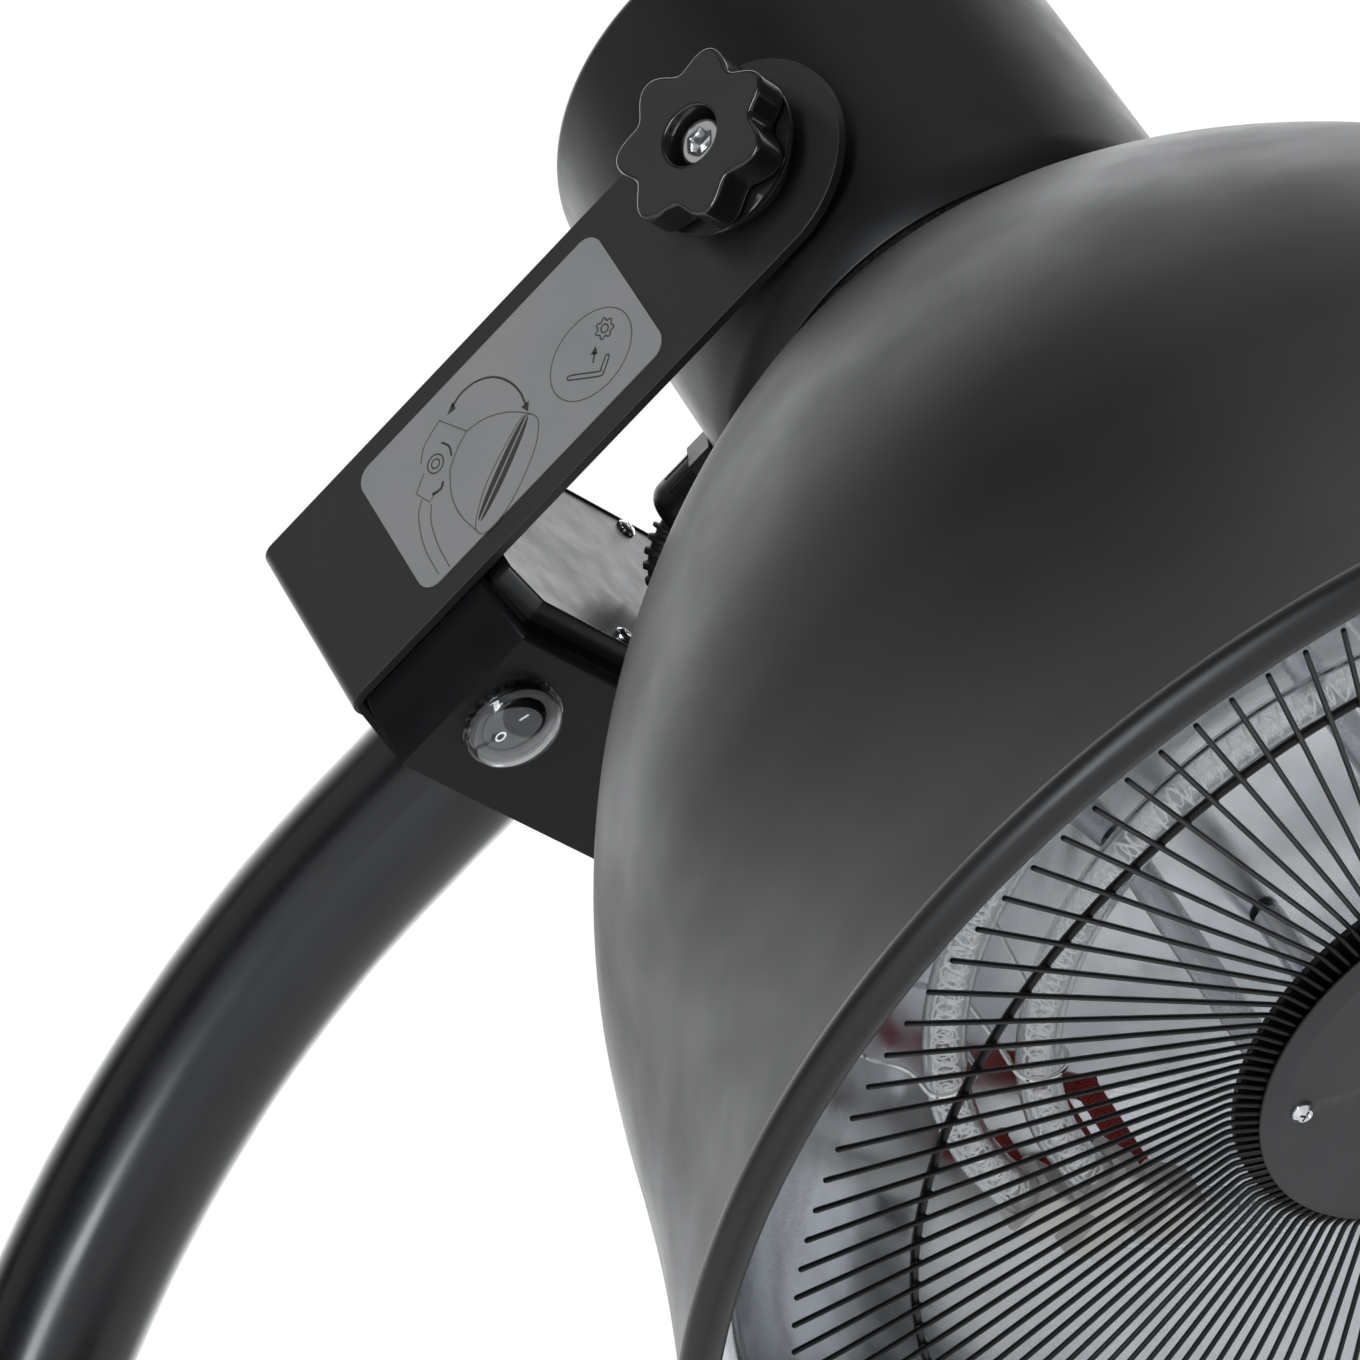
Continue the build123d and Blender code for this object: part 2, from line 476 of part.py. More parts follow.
# ---------------------------------------------------------------- reflector
FLG = 285.4              # flange's back face
rf_out = [(r, 0, w) for r, w in REFL]
rf_in = []
for i, (r, w) in enumerate(REFL):
    a = REFL[max(i - 1, 0)]
    b = REFL[min(i + 1, len(REFL) - 1)]
    dr, dw = b[0] - a[0], b[1] - a[1]
    n = hypot(dr, dw)
    rf_in.append((max(r + REFL_T * dw / n, 0) if i else 0, 0, w - REFL_T * dr / n if i else w - REFL_T))
rf_face = loop(
    Spline(*rf_out),
    Polyline(rf_out[-1], (184.0, 0, FLG + REFL_T), (195.0, 0, FLG + REFL_T), (195.0, 0, FLG), (184.6, 0, FLG), rf_in[-1]),
    Spline(*list(reversed(rf_in))),
    Line(rf_in[0], rf_out[0]))
refl = revolve(rf_face, Axis.Z)


def refl_w(r):
    for (r0, w0), (r1, w1) in zip(REFL, REFL[1:]):
        if r0 <= r <= r1:
            return w0 + (w1 - w0) * (r - r0) / (r1 - r0)
    return REFL[-1][1]


ends = []
for (R, Wl) in (LAMP_O, LAMP_I):
    for sgn in (-1, 1):
        ends.append((R, Wl, LAMP_AZ + sgn * degrees(10.4 / R)))
for R, Wl, az in ends:
    x, y, _ = polar(R, az, 0)
    refl -= cyl(3.4, 180, 245, (x, y))
tab_az = [5, 125, 245]
for a in tab_az:
    refl -= cyl(2.2, FLG - 2, FLG + 3, polar(189.5, a, 0)[:2])
post_az = [-133.7 + 90 * k for k in range(4)]
PR = 43.85               # posts between the reflector and the grille's hub plate
for a in post_az:
    refl -= cyl(1.7, 190, 210, polar(PR, a, 0)[:2])
put("reflector", refl)
tabs = []
for a in tab_az:
    t = Rot(0, 0, a) * block(185.5, 195.7, -7, 7, FLG - 4.4, FLG)
    t -= cyl(2.0, FLG - 12, FLG + 3, polar(189.5, a, 0)[:2])
    tabs.append(t)
put("reflector_tabs", group(tabs))
rs = []
for a in tab_az:
    x, y, _ = polar(189.5, a, 0)
    rs.append(cyl(2.0, FLG - 6.5, FLG + REFL_T, (x, y)) + cyl(3.6, FLG + REFL_T, FLG + REFL_T + 2.0, (x, y))
              - block(x - 2, x + 2, y - 0.4, y + 0.4, FLG + REFL_T + 1.2, FLG + 5)
              - block(x - 0.4, x + 0.4, y - 2, y + 2, FLG + REFL_T + 1.2, FLG + 5))
put("reflector_screws", group(rs))

# ---------------------------------------------------------------- lamps
def ring_tube(R, Wl, r, half_gap, az=LAMP_AZ):
    s = revolve(Pos(R, 0, 0) * Rot(90, 0, 0) * Circle(r), Axis.Z, revolution_arc=360 - 2 * half_gap)
    return Pos(0, 0, Wl) * Rot(0, 0, az + half_gap) * s


lamps, fils = [], []
for (R, Wl) in (LAMP_O, LAMP_I):
    hg = degrees(15.2 / R)
    lamps.append(ring_tube(R, Wl, LAMP_r, hg) - ring_tube(R, Wl, LAMP_r - 1.2, hg))
    fils.append(ring_tube(R, Wl, 1.6, hg))
put("lamp_outer", lamps[0])
put("lamp_inner", lamps[1])
put("filaments", group(fils))
cer, slv = [], []
for R, Wl, az in ends:
    s = 1 if az > LAMP_AZ else -1
    y0, y1 = (-6.0, 6.0)
    b = Pos(R, 0, Wl) * Rot(0, 0, 0) * block(-7.2, 7.2, y0, y1, -7.5, 6.8)
    b = fillet(b.edges().filter_by(Axis.Y), 2.0)
    b = Rot(0, 0, az) * b
    b -= ring_tube(R, Wl, LAMP_r, degrees(15.2 / R))
    cer.append(b)
    x, y, _ = polar(R, az, 0)
    slv.append(cyl(3.0, 192.0, Wl - 7.5, (x, y)) - cyl(2.2, 190, Wl, (x, y)))
put("lamp_ceramics", group(cer))
put("red_sleeves", group(slv))
print("ceramic solids", [len(c.solids()) for c in cer])

# leads from the lamp ends back to the terminal block in the can
leads = []
for i, (R, Wl, az) in enumerate(ends):
    x, y, _ = polar(R, az, 0)
    tx = -15 + 10 * i
    pts = [(x, y, Wl - 7.5), (x, y, 180 if R > 100 else 176), (x * 0.82 + 0.1, y * 0.8, 150), (x * 0.5 + 0.2 * tx, y * 0.52, 112),
           (tx * 0.9, -32 - 2.0 * (i % 2), 72), (tx * 0.98, -24, 30), (tx, -21, -14), (tx + 0.01, -20.0, -58.5)]
    leads.append(path_tube(pts, 1.4, label="lamp lead %d" % i))
put("lamp_leads", group(leads))
tbc = block(-24, 24, -31, -9, CAN_BACK + CAN_T, -58.5)
for k in range(4):
    tbc -= cyl(2.4, -66, -57, (-15 + 10 * k, -13.5))
put("can_terminal_block", tbc)
tail = path_tube([(0, -CAN_R + 6.4, 0), (0.2, -48, -3), (0.8, -38, -18), (0.6, -35.4, -34), (0, -26.5, -46), (0, -26.5, -58.5)], 3.0, label="supply tail")
put("can_tail", tail)

# bright spring-wire clips that hold both lamps
clips = []
for a in (-128.0, -42.0, 50.0, 142.0):
    Ro, Wo = LAMP_O
    Ri, Wi = LAMP_I
    q = LAMP_r + 0.85
    pts = [(Ro + 14, refl_w(Ro + 14) + 0.2), (Ro + q + 1.2, Wo - 4), (Ro + q - 0.4, Wo + 4.8), (Ro + 1.0, Wo + q + 1.1),
           (Ro - q + 0.2, Wo + 4.0), (Ro - q - 0.6, Wo - 5.0), (99.6, refl_w(99.6) + 0.95)]
    c1 = path_tube([(r, 0, w) for r, w in pts], 0.75, label="clip a")
    pts = [(Ri + 7.6, refl_w(Ri + 7.6) + 0.95), (Ri + q + 0.4, Wi - 10), (Ri + q - 0.2, Wi + 3.6), (Ri + 0.5, Wi + q + 1.1),
           (Ri - q + 0.2, Wi + 3.6), (Ri - q - 0.6, Wi - 10.0), (Ri - 9.5, refl_w(Ri - 9.5) + 0.95)]
    c2 = path_tube([(r, 0, w) for r, w in pts], 0.75, label="clip b")
    clips += [Rot(0, 0, a + 2.2) * c1, Rot(0, 0, a - 2.2) * c2]
put("lamp_clips", group(clips))

# ---------------------------------------------------------------- grille
def wire_w(r):
    if r < KINK_R:
        return WIRE_W + 0.43 * (KINK_R - r)
    return WIRE_W + tan(radians(WIRE_RISE)) * (r - KINK_R)


wpts = [(WIRE_END, wire_w(WIRE_END)), (KINK_R, WIRE_W), (WIRE_IN, wire_w(WIRE_IN))]
wline = FilletPolyline(*[(r, 0, w) for r, w in wpts], radius=6.0)
wd = Vector(wpts[1][0] - wpts[0][0], 0, wpts[1][1] - wpts[0][1]).normalized()
one = sweep(Plane(origin=(wpts[0][0], 0, wpts[0][1]), z_dir=wd) * Circle(WIRE_r), path=wline)
wires = [Rot(0, 0, 1.5 + 360.0 / N_WIRE * k) * one for k in range(N_WIRE)]
put("grille_wires", group(wires))
RING_W = wire_w(RING_R) - WIRE_r - RING_r
put("grille_ring", Pos(0, 0, RING_W) * Torus(RING_R, RING_r))
HUB_W = WIRE_W - WIRE_r - 1.6      # underside of the hub plate
gp, gs = [], []
for a in post_az:
    x, y, _ = polar(PR, a, 0)
    foot = refl_w(PR + 4.2) + 0.1
    rear = refl_w(PR - 3.4) - REFL_T - 0.3
    gp.append(cyl(4.0, foot, HUB_W, (x, y)) - cyl(1.6, foot - 1, foot + 12, (x, y)) - cyl(1.9, 277, HUB_W + 1, (x, y)))
    gs.append(cyl(1.6, rear, foot + 10, (x, y)) + cyl(3.2, rear - 2.2, rear, (x, y)))
put("grille_posts", group(gp))
put("grille_screws", group(gs))

cap_c = rev([(0, 293.2), (CAP_FACE, 293.2), (CAP_R, 291.7), (CAP_R, 290.9), (CAP_FACE - 0.1, 292.35), (0, 292.35)])
hub = rev([(20, WIRE_W - WIRE_r - 1.6), (57.5, WIRE_W - WIRE_r - 1.6), (57.5, WIRE_W - WIRE_r), (20, WIRE_W - WIRE_r)])
cs_at = [polar(43.85, -133.7 + 90 * k, 0)[:2] for k in range(4)]
posts = []
for c in cs_at:
    cap_c -= cyl(2.0, 280, 300, c)
    hub -= cyl(1.9, 280, 300, c)
    posts.append(cyl(3.6, WIRE_W - WIRE_r, 292.35, c) - cyl(1.9, 280, 300, c))
put("centre_cap", cap_c)
put("hub_plate", hub)
put("cap_spacers", group(posts))
csr = []
for c in cs_at:
    s = cyl(1.9, 279, 293.2, c) + Pos(c[0], c[1], 293.2) * rev([(0, 0), (3.0, 0), (2.6, 1.1), (1.4, 1.75), (0, 1.9)])
    s -= Pos(c[0], c[1], 294.0) * Rot(0, 0, 20) * (block(-1.7, 1.7, -0.4, 0.4, 0, 3) + block(-0.4, 0.4, -1.7, 1.7, 0, 3))
    csr.append(s)
put("cap_screws", group(csr))

# ---------------------------------------------------------------- summary
lo = [min(tuple(s.bounding_box().min)[i] for s in NODES.values()) for i in range(3)]
hi = [max(tuple(s.bounding_box().max)[i] for s in NODES.values()) for i in range(3)]
print("nodes", len(NODES))
print("box", [round(v, 2) for v in lo], [round(v, 2) for v in hi], "y centre", round((lo[1] + hi[1]) / 2, 3))
print("joint points: pivot", row(0, 0, 0), "rocker", row(SW_P, SW_L, PZ))
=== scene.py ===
import bpy
import bmesh
import json
from math import sin, cos, tan, radians, degrees, pi, sqrt, atan2, hypot
from mathutils import Matrix, Vector, noise

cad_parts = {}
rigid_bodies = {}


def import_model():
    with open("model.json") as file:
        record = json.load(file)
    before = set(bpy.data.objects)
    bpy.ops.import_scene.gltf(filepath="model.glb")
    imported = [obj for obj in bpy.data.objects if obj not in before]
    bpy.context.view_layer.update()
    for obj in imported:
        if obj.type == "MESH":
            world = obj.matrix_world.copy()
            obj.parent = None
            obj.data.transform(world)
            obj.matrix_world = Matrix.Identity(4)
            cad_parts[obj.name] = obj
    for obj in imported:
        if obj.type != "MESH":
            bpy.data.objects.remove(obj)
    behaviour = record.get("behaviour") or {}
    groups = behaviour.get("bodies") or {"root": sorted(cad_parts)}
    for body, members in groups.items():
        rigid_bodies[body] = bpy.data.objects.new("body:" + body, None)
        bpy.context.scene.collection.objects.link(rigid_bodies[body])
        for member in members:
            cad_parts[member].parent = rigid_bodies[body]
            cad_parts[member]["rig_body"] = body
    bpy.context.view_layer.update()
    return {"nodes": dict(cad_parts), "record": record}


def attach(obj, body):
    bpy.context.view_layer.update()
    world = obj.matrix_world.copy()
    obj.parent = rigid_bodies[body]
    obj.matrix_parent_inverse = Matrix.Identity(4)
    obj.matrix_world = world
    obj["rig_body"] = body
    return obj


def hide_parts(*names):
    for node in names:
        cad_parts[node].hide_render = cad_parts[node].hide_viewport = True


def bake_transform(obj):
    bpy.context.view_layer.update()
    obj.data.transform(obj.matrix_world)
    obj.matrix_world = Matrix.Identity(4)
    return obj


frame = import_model()
NODES = frame["nodes"]
scene = bpy.context.scene
scene.view_settings.view_transform = "Standard"
scene.view_settings.look = "None"

# ------------------------------------------------------------------ frames
# Head frame: p across, l up the bracket arm, w out of the dome; millimetres in, metres out.
LEAN = radians(31.466)
sL, cL = sin(LEAN), cos(LEAN)
PIV = Vector((0.0, -0.034874, 1.990))
HEAD = Matrix(((1, 0, 0, PIV.x), (0, -cL, -sL, PIV.y), (0, sL, -cL, PIV.z), (0, 0, 0, 1)))


def hp(p, l, w):
    """head frame point, mm, in the row frame, m"""
    return HEAD @ Vector((p * 0.001, l * 0.001, w * 0.001))


# ------------------------------------------------------------------ camera
right = Vector((0.61337, -0.78979, 0.0)).normalized()
up = Vector((-0.32354, -0.25126, 0.91224)).normalized()
back = right.cross(up).normalized()
up = back.cross(right).normalized()
cam_data = bpy.data.cameras.new("camera")
cam_data.sensor_width = 36.0
cam_data.lens = 197.95
cam_data.clip_start, cam_data.clip_end = 0.05, 60.0
cam = bpy.data.objects.new("camera", cam_data)
scene.collection.objects.link(cam)
cam.matrix_world = Matrix(((right.x, up.x, back.x, -1.3812), (right.y, up.y, back.y, -1.0300),
                           (right.z, up.z, back.z, 1.1129), (0, 0, 0, 1)))
scene.camera = cam


# ------------------------------------------------------------------ node trees
class Tree:
    """small helper around one material's nodes"""

    def __init__(self, name):
        self.mat = bpy.data.materials.new(name)
        self.mat.use_nodes = True
        self.nt = self.mat.node_tree
        self.bsdf = self.nt.nodes["Principled BSDF"]
        self.out = self.nt.nodes["Material Output"]
        self.co = None

    def node(self, kind, **props):
        n = self.nt.nodes.new(kind)
        for k, v in props.items():
            setattr(n, k, v)
        return n

    def link(self, a, b):
        self.nt.links.new(a, b)

    def set(self, name, value):
        self.bsdf.inputs[name].default_value = value

    def coords(self, scale=(1, 1, 1)):
        if self.co is None:
            self.co = self.node("ShaderNodeTexCoord")
        if tuple(scale) == (1, 1, 1):
            return self.co.outputs["Object"]
        m = self.node("ShaderNodeMapping")
        m.inputs["Scale"].default_value = scale
        self.link(self.co.outputs["Object"], m.inputs["Vector"])
        return m.outputs["Vector"]

    def noise(self, size_mm, detail=3.0, rough=0.55, vec=None, stretch=(1, 1, 1)):
        n = self.node("ShaderNodeTexNoise")
        n.inputs["Scale"].default_value = 1000.0 / size_mm
        n.inputs["Detail"].default_value = detail
        n.inputs["Roughness"].default_value = rough
        self.link(vec if vec is not None else self.coords(stretch), n.inputs["Vector"])
        return n.outputs["Fac"]

    def remap(self, fac, lo, hi, a=0.3, b=0.7):
        m = self.node("ShaderNodeMapRange")
        m.inputs["From Min"].default_value = a
        m.inputs["From Max"].default_value = b
        m.inputs["To Min"].default_value = lo
        m.inputs["To Max"].default_value = hi
        self.link(fac, m.inputs["Value"])
        return m.outputs["Result"]

    def ramp(self, fac, stops):
        r = self.node("ShaderNodeValToRGB")
        el = r.color_ramp.elements
        while len(el) < len(stops):
            el.new(0.5)
        for e, (pos, col) in zip(el, stops):
            e.position = pos
            e.color = (*col[:3], 1.0)
        self.link(fac, r.inputs["Fac"])
        return r.outputs["Color"]

    def math(self, op, a, b=None, c=None):
        m = self.node("ShaderNodeMath", operation=op)
        for i, v in enumerate((a, b, c)):
            if v is None:
                continue
            if isinstance(v, (int, float)):
                m.inputs[i].default_value = v
            else:
                self.link(v, m.inputs[i])
        return m.outputs[0]

    def bump(self, height, strength, dist_mm, normal=None):
        b = self.node("ShaderNodeBump")
        b.inputs["Strength"].default_value = strength
        b.inputs["Distance"].default_value = dist_mm * 0.001
        self.link(height, b.inputs["Height"])
        if normal is not None:
            self.link(normal, b.inputs["Normal"])
        return b.outputs["Normal"]

    def radius(self):
        """distance from the head's axis and place along it, from the piece's own frame"""
        s = self.node("ShaderNodeSeparateXYZ")
        self.link(self.coords(), s.inputs[0])
        x2 = self.math("MULTIPLY", s.outputs["X"], s.outputs["X"])
        r2 = self.math("MULTIPLY_ADD", s.outputs["Y"], s.outputs["Y"], x2)
        return self.math("SQRT", r2), s.outputs["Z"], s

    def line_noise(self, value, size_mm, detail=2.0):
        n = self.node("ShaderNodeTexNoise", noise_dimensions="1D")
        n.inputs["Scale"].default_value = 1000.0 / size_mm
        n.inputs["Detail"].default_value = detail
        self.link(value, n.inputs["W"])
        return n.outputs["Fac"]


def tint(c, k):
    return tuple(min(1.0, v * k) for v in c)


def paint(name, base, rough=0.42, vary=0.12, grain=0.9, grain_s=0.25, coat=0.0, spec=0.5, cloud=60.0, edge_wear_and_glint=0.0, sheen=0.0,
          rough_vary=0.05, spun=0.0):
    """powder coat or paint: a fine skin, faint tone clouds and slightly uneven gloss"""
    t = Tree(name)
    cloudy = t.noise(cloud, 4.0)
    fine = t.noise(grain, 2.0, 0.5)
    col = t.ramp(cloudy, [(0.3, tint(base, 1 - vary)), (0.7, tint(base, 1 + vary))])
    # edges lightened by pointiness and broken up by noise: partly chipped paint, partly a painted highlight along the
    # edges
    if edge_wear_and_glint:
        g = t.node("ShaderNodeNewGeometry")
        edge = t.remap(g.outputs["Pointiness"], 0.0, edge_wear_and_glint, 0.52, 0.60)
        worn_and_lit_edge = t.math("MULTIPLY", edge, t.remap(t.noise(3.0, 3.0), 0.2, 1.0, 0.35, 0.65))
        mx = t.node("ShaderNodeMix", data_type="RGBA")
        t.link(worn_and_lit_edge, mx.inputs["Factor"])
        t.link(col, mx.inputs["A"])
        mx.inputs["B"].default_value = (*tint(base, 5.0), 1)
        col = mx.outputs["Result"]
    t.link(col, t.bsdf.inputs["Base Color"])
    t.link(t.remap(t.noise(cloud * 0.35, 3.0), rough - rough_vary, rough + rough_vary), t.bsdf.inputs["Roughness"])
    nrm = t.bump(fine, grain_s, 0.04)
    if spun:
        r, z, _ = t.radius()
        lines = t.line_noise(t.math("ADD", r, z), 1.6, 3.0)
        nrm = t.bump(lines, spun, 0.03, nrm)
    t.link(nrm, t.bsdf.inputs["Normal"])
    t.set("Specular IOR Level", spec)
    t.set("Coat Weight", coat)
    t.set("Coat Roughness", 0.12)
    if sheen:
        t.set("Sheen Weight", sheen)
        t.set("Sheen Roughness", 0.5)
    return t.mat


def metal(name, base, rough=0.25, vary=0.08, scratch=0.15, size=1.2, stretch=(1, 1, 1), metallic=1.0, grime=0.0):
    t = Tree(name)
    c = t.noise(14.0, 4.0)
    col = t.ramp(c, [(0.25, tint(base, 1 - vary - grime)), (0.6, base), (0.8, tint(base, 1 + vary * 0.5))])
    t.link(col, t.bsdf.inputs["Base Color"])
    t.set("Metallic", metallic)
    t.link(t.remap(t.noise(5.0, 3.0), rough * 0.75, rough * 1.35), t.bsdf.inputs["Roughness"])
    t.link(t.bump(t.noise(size, 3.0, 0.6, stretch=stretch), scratch, 0.03), t.bsdf.inputs["Normal"])
    return t.mat


def plastic(name, base, rough=0.3, vary=0.06, grain=0.5, grain_s=0.1, coat=0.0, spec=0.5, rough_vary=0.05):
    t = Tree(name)
    col = t.ramp(t.noise(25.0, 4.0), [(0.3, tint(base, 1 - vary)), (0.7, tint(base, 1 + vary))])
    t.link(col, t.bsdf.inputs["Base Color"])
    t.link(t.remap(t.noise(9.0, 4.0), max(rough - rough_vary, 0.02), rough + rough_vary), t.bsdf.inputs["Roughness"])
    t.link(t.bump(t.noise(grain, 2.0), grain_s, 0.02), t.bsdf.inputs["Normal"])
    t.set("Specular IOR Level", spec)
    t.set("Coat Weight", coat)
    t.set("Coat Roughness", 0.06)
    return t.mat


M = {}
M["iron"] = paint("iron_paint", (0.030, 0.031, 0.033), 0.55, 0.15, 1.6, 0.5, edge_wear_and_glint=0.3)
M["tube"] = paint("tube_paint", (0.0060, 0.0064, 0.0072), 0.25, 0.10, 1.1, 0.16, coat=0.10, spec=0.48)
M["powder"] = paint("dome_powder", (0.0062, 0.0061, 0.0063), 0.42, 0.10, 0.8, 0.22, spec=0.46, cloud=90.0, spun=0.12)
M["can"] = paint("can_powder", (0.009, 0.009, 0.0092), 0.40, 0.12, 0.8, 0.22, spec=0.32, cloud=50.0, spun=0.45)
M["bracket"] = paint("bracket_paint", (0.0165, 0.0160, 0.0163), 0.40, 0.08, 0.7, 0.20, spec=0.5, edge_wear_and_glint=0.10)
M["box"] = paint("box_paint", (0.0040, 0.0041, 0.0045), 0.34, 0.08, 0.7, 0.14, spec=0.16, edge_wear_and_glint=0.14)
M["lid"] = paint("lid_paint", (0.016, 0.016, 0.016), 0.30, 0.10, 0.9, 0.12, spec=0.24, cloud=22.0, edge_wear_and_glint=0.10)
M["zinc"] = metal("zinc_plate", (0.62, 0.62, 0.64), 0.28, 0.10, 0.2, 0.8)
M["black_screw"] = metal("blackened_steel", (0.06, 0.06, 0.065), 0.35, 0.2, 0.2, 0.8, metallic=0.8)
M["rubber"] = plastic("rubber", (0.016, 0.016, 0.017), 0.62, 0.12, 0.7, 0.35)
M["pvc"] = plastic("cable_sheath", (0.010, 0.010, 0.011), 0.38, 0.10, 0.9, 0.15)
M["plastic"] = plastic("black_nylon", (0.010, 0.010, 0.011), 0.40, 0.10, 0.6, 0.15, spec=0.35)
M["knob"] = plastic("knob_plastic", (0.010, 0.0098, 0.0100), 0.17, 0.15, 1.4, 0.05, coat=0.35, rough_vary=0.04)
M["gloss"] = plastic("switch_plastic", (0.008, 0.009, 0.011), 0.16, 0.10, 0.8, 0.04, coat=0.3)
M["white"] = plastic("terminal_plastic", (0.72, 0.72, 0.69), 0.40, 0.05, 0.6, 0.1)
M["mark"] = plastic("switch_mark", (0.80, 0.82, 0.84), 0.4, 0.05)
# the marks are white print; their small emission is a painted glow that makes them brighter than the lamps alone do
M["mark"].node_tree.nodes["Principled BSDF"].inputs["Emission Color"].default_value = (0.8, 0.85, 0.9, 1)
M["mark"].node_tree.nodes["Principled BSDF"].inputs["Emission Strength"].default_value = 0.50
M["fibre"] = plastic("fibre_washer", (0.16, 0.11, 0.07), 0.7, 0.2, 0.8, 0.4)
M["lead"] = plastic("lead_sleeve", (0.62, 0.60, 0.55), 0.6, 0.1, 0.9, 0.4)
M["grille"] = paint("grille_coat", (0.0038, 0.0038, 0.0041), 0.33, 0.15, 0.6, 0.25, spec=0.26)
M["cap"] = paint("cap_coat", (0.030, 0.030, 0.031), 0.50, 0.06, 0.5, 0.35, spec=0.4, edge_wear_and_glint=0.5)
M["bright"] = metal("bright_wire", (0.88, 0.86, 0.83), 0.10, 0.05, 0.08, 0.6)
M["screw"] = metal("bright_screw", (0.72, 0.73, 0.74), 0.16, 0.12, 0.15, 0.5)


def label_material():
    t = Tree("label_film")
    col = t.ramp(t.noise(26.0, 3.0), [(0.30, (0.214, 0.219, 0.214)), (0.55, (0.236, 0.230, 0.228)), (0.75, (0.250, 0.238, 0.236))])
    t.link(col, t.bsdf.inputs["Base Color"])
    t.link(t.remap(t.noise(12.0, 3.0), 0.40, 0.52), t.bsdf.inputs["Roughness"])
    t.link(t.bump(t.noise(7.0, 3.0), 0.12, 0.05), t.bsdf.inputs["Normal"])
    t.set("Specular IOR Level", 0.4)
    return t.mat


M["label"] = label_material()
M["ink"] = plastic("label_ink", (0.030, 0.029, 0.030), 0.5, 0.1)
M["ink_grey"] = plastic("label_ink_grey", (0.075, 0.073, 0.072), 0.5, 0.1)


def reflector_material():
    """spun and polished aluminium: fine rings, slow ripples and a little haze"""
    t = Tree("spun_aluminium")
    r, z, s = t.radius()
    rings = t.line_noise(r, 1.1, 3.0)
    wide = t.line_noise(r, 16.0, 2.0)
    soft = t.noise(34.0, 3.0)
    col = t.ramp(soft, [(0.25, (0.62, 0.65, 0.69)), (0.75, (0.78, 0.80, 0.82))])
    t.link(col, t.bsdf.inputs["Base Color"])
    t.set("Metallic", 1.0)
    t.link(t.remap(wide, 0.10, 0.26), t.bsdf.inputs["Roughness"])
    nrm = t.bump(rings, 0.18, 0.04)
    nrm = t.bump(t.noise(42.0, 2.0), 0.5, 1.1, nrm)
    nrm = t.bump(wide, 0.3, 0.25, nrm)
    t.link(nrm, t.bsdf.inputs["Normal"])
    return t.mat


M["alu"] = reflector_material()


def glass(name, tone, rough=0.02, ior=1.45, vary=0.0):
    t = Tree(name)
    n = t.noise(6.0, 3.0)
    t.link(t.ramp(n, [(0.3, tint(tone, 0.96)), (0.7, tone)]), t.bsdf.inputs["Base Color"])
    t.link(t.remap(n, max(rough - 0.01, 0.0), rough + 0.02 + vary), t.bsdf.inputs["Roughness"])
    t.link(t.bump(t.noise(9.0, 2.0), 0.12, 0.12), t.bsdf.inputs["Normal"])
    t.set("Transmission Weight", 1.0)
    t.set("IOR", ior)
    return t.mat


M["quartz"] = glass("quartz", (0.97, 0.98, 0.985), 0.07, 1.46, 0.06)
M["silicone"] = glass("clear_silicone", (0.97, 0.98, 0.99), 0.01, 1.14)
M["silicone"].node_tree.nodes["Principled BSDF"].inputs["Coat Weight"].default_value = 1.0
M["silicone"].node_tree.nodes["Principled BSDF"].inputs["Coat Roughness"].default_value = 0.03


def sleeve_material():
    """red braided glass-fibre sleeve"""
    t = Tree("red_braid")
    w1 = t.node("ShaderNodeTexWave", wave_type="BANDS", bands_direction="DIAGONAL")
    w1.inputs["Scale"].default_value = 420.0
    w1.inputs["Distortion"].default_value = 1.5
    t.link(t.coords(), w1.inputs["Vector"])
    n = t.noise(1.0, 2.0)
    h = t.math("MULTIPLY", w1.outputs["Fac"], n)
    t.link(t.ramp(h, [(0.1, (0.22, 0.015, 0.010)), (0.6, (0.52, 0.06, 0.035))]), t.bsdf.inputs["Base Color"])
    t.set("Roughness", 0.75)
    t.link(t.bump(h, 0.7, 0.25), t.bsdf.inputs["Normal"])
    return t.mat


M["red"] = sleeve_material()
M["ceramic"] = plastic("steatite", (0.74, 0.72, 0.68), 0.55, 0.06, 0.7, 0.25)


def filament_material():
    t = Tree("heating_wire")
    t.link(t.ramp(t.noise(3.0, 3.0), [(0.3, (0.70, 0.70, 0.69)), (0.7, (0.97, 0.96, 0.95))]), t.bsdf.inputs["Base Color"])
    t.set("Metallic", 0.35)
    # faint cool emission: painted light on the wires, standing in for the lamp light the quartz tubes keep from them
    t.set("Emission Color", (0.93, 0.96, 1.0, 1.0))
    t.set("Emission Strength", 0.16)
    t.link(t.remap(t.noise(2.0, 2.0), 0.25, 0.5), t.bsdf.inputs["Roughness"])
    t.link(t.bump(t.noise(0.5, 2.0), 0.3, 0.05), t.bsdf.inputs["Normal"])
    return t.mat


M["filament"] = filament_material()

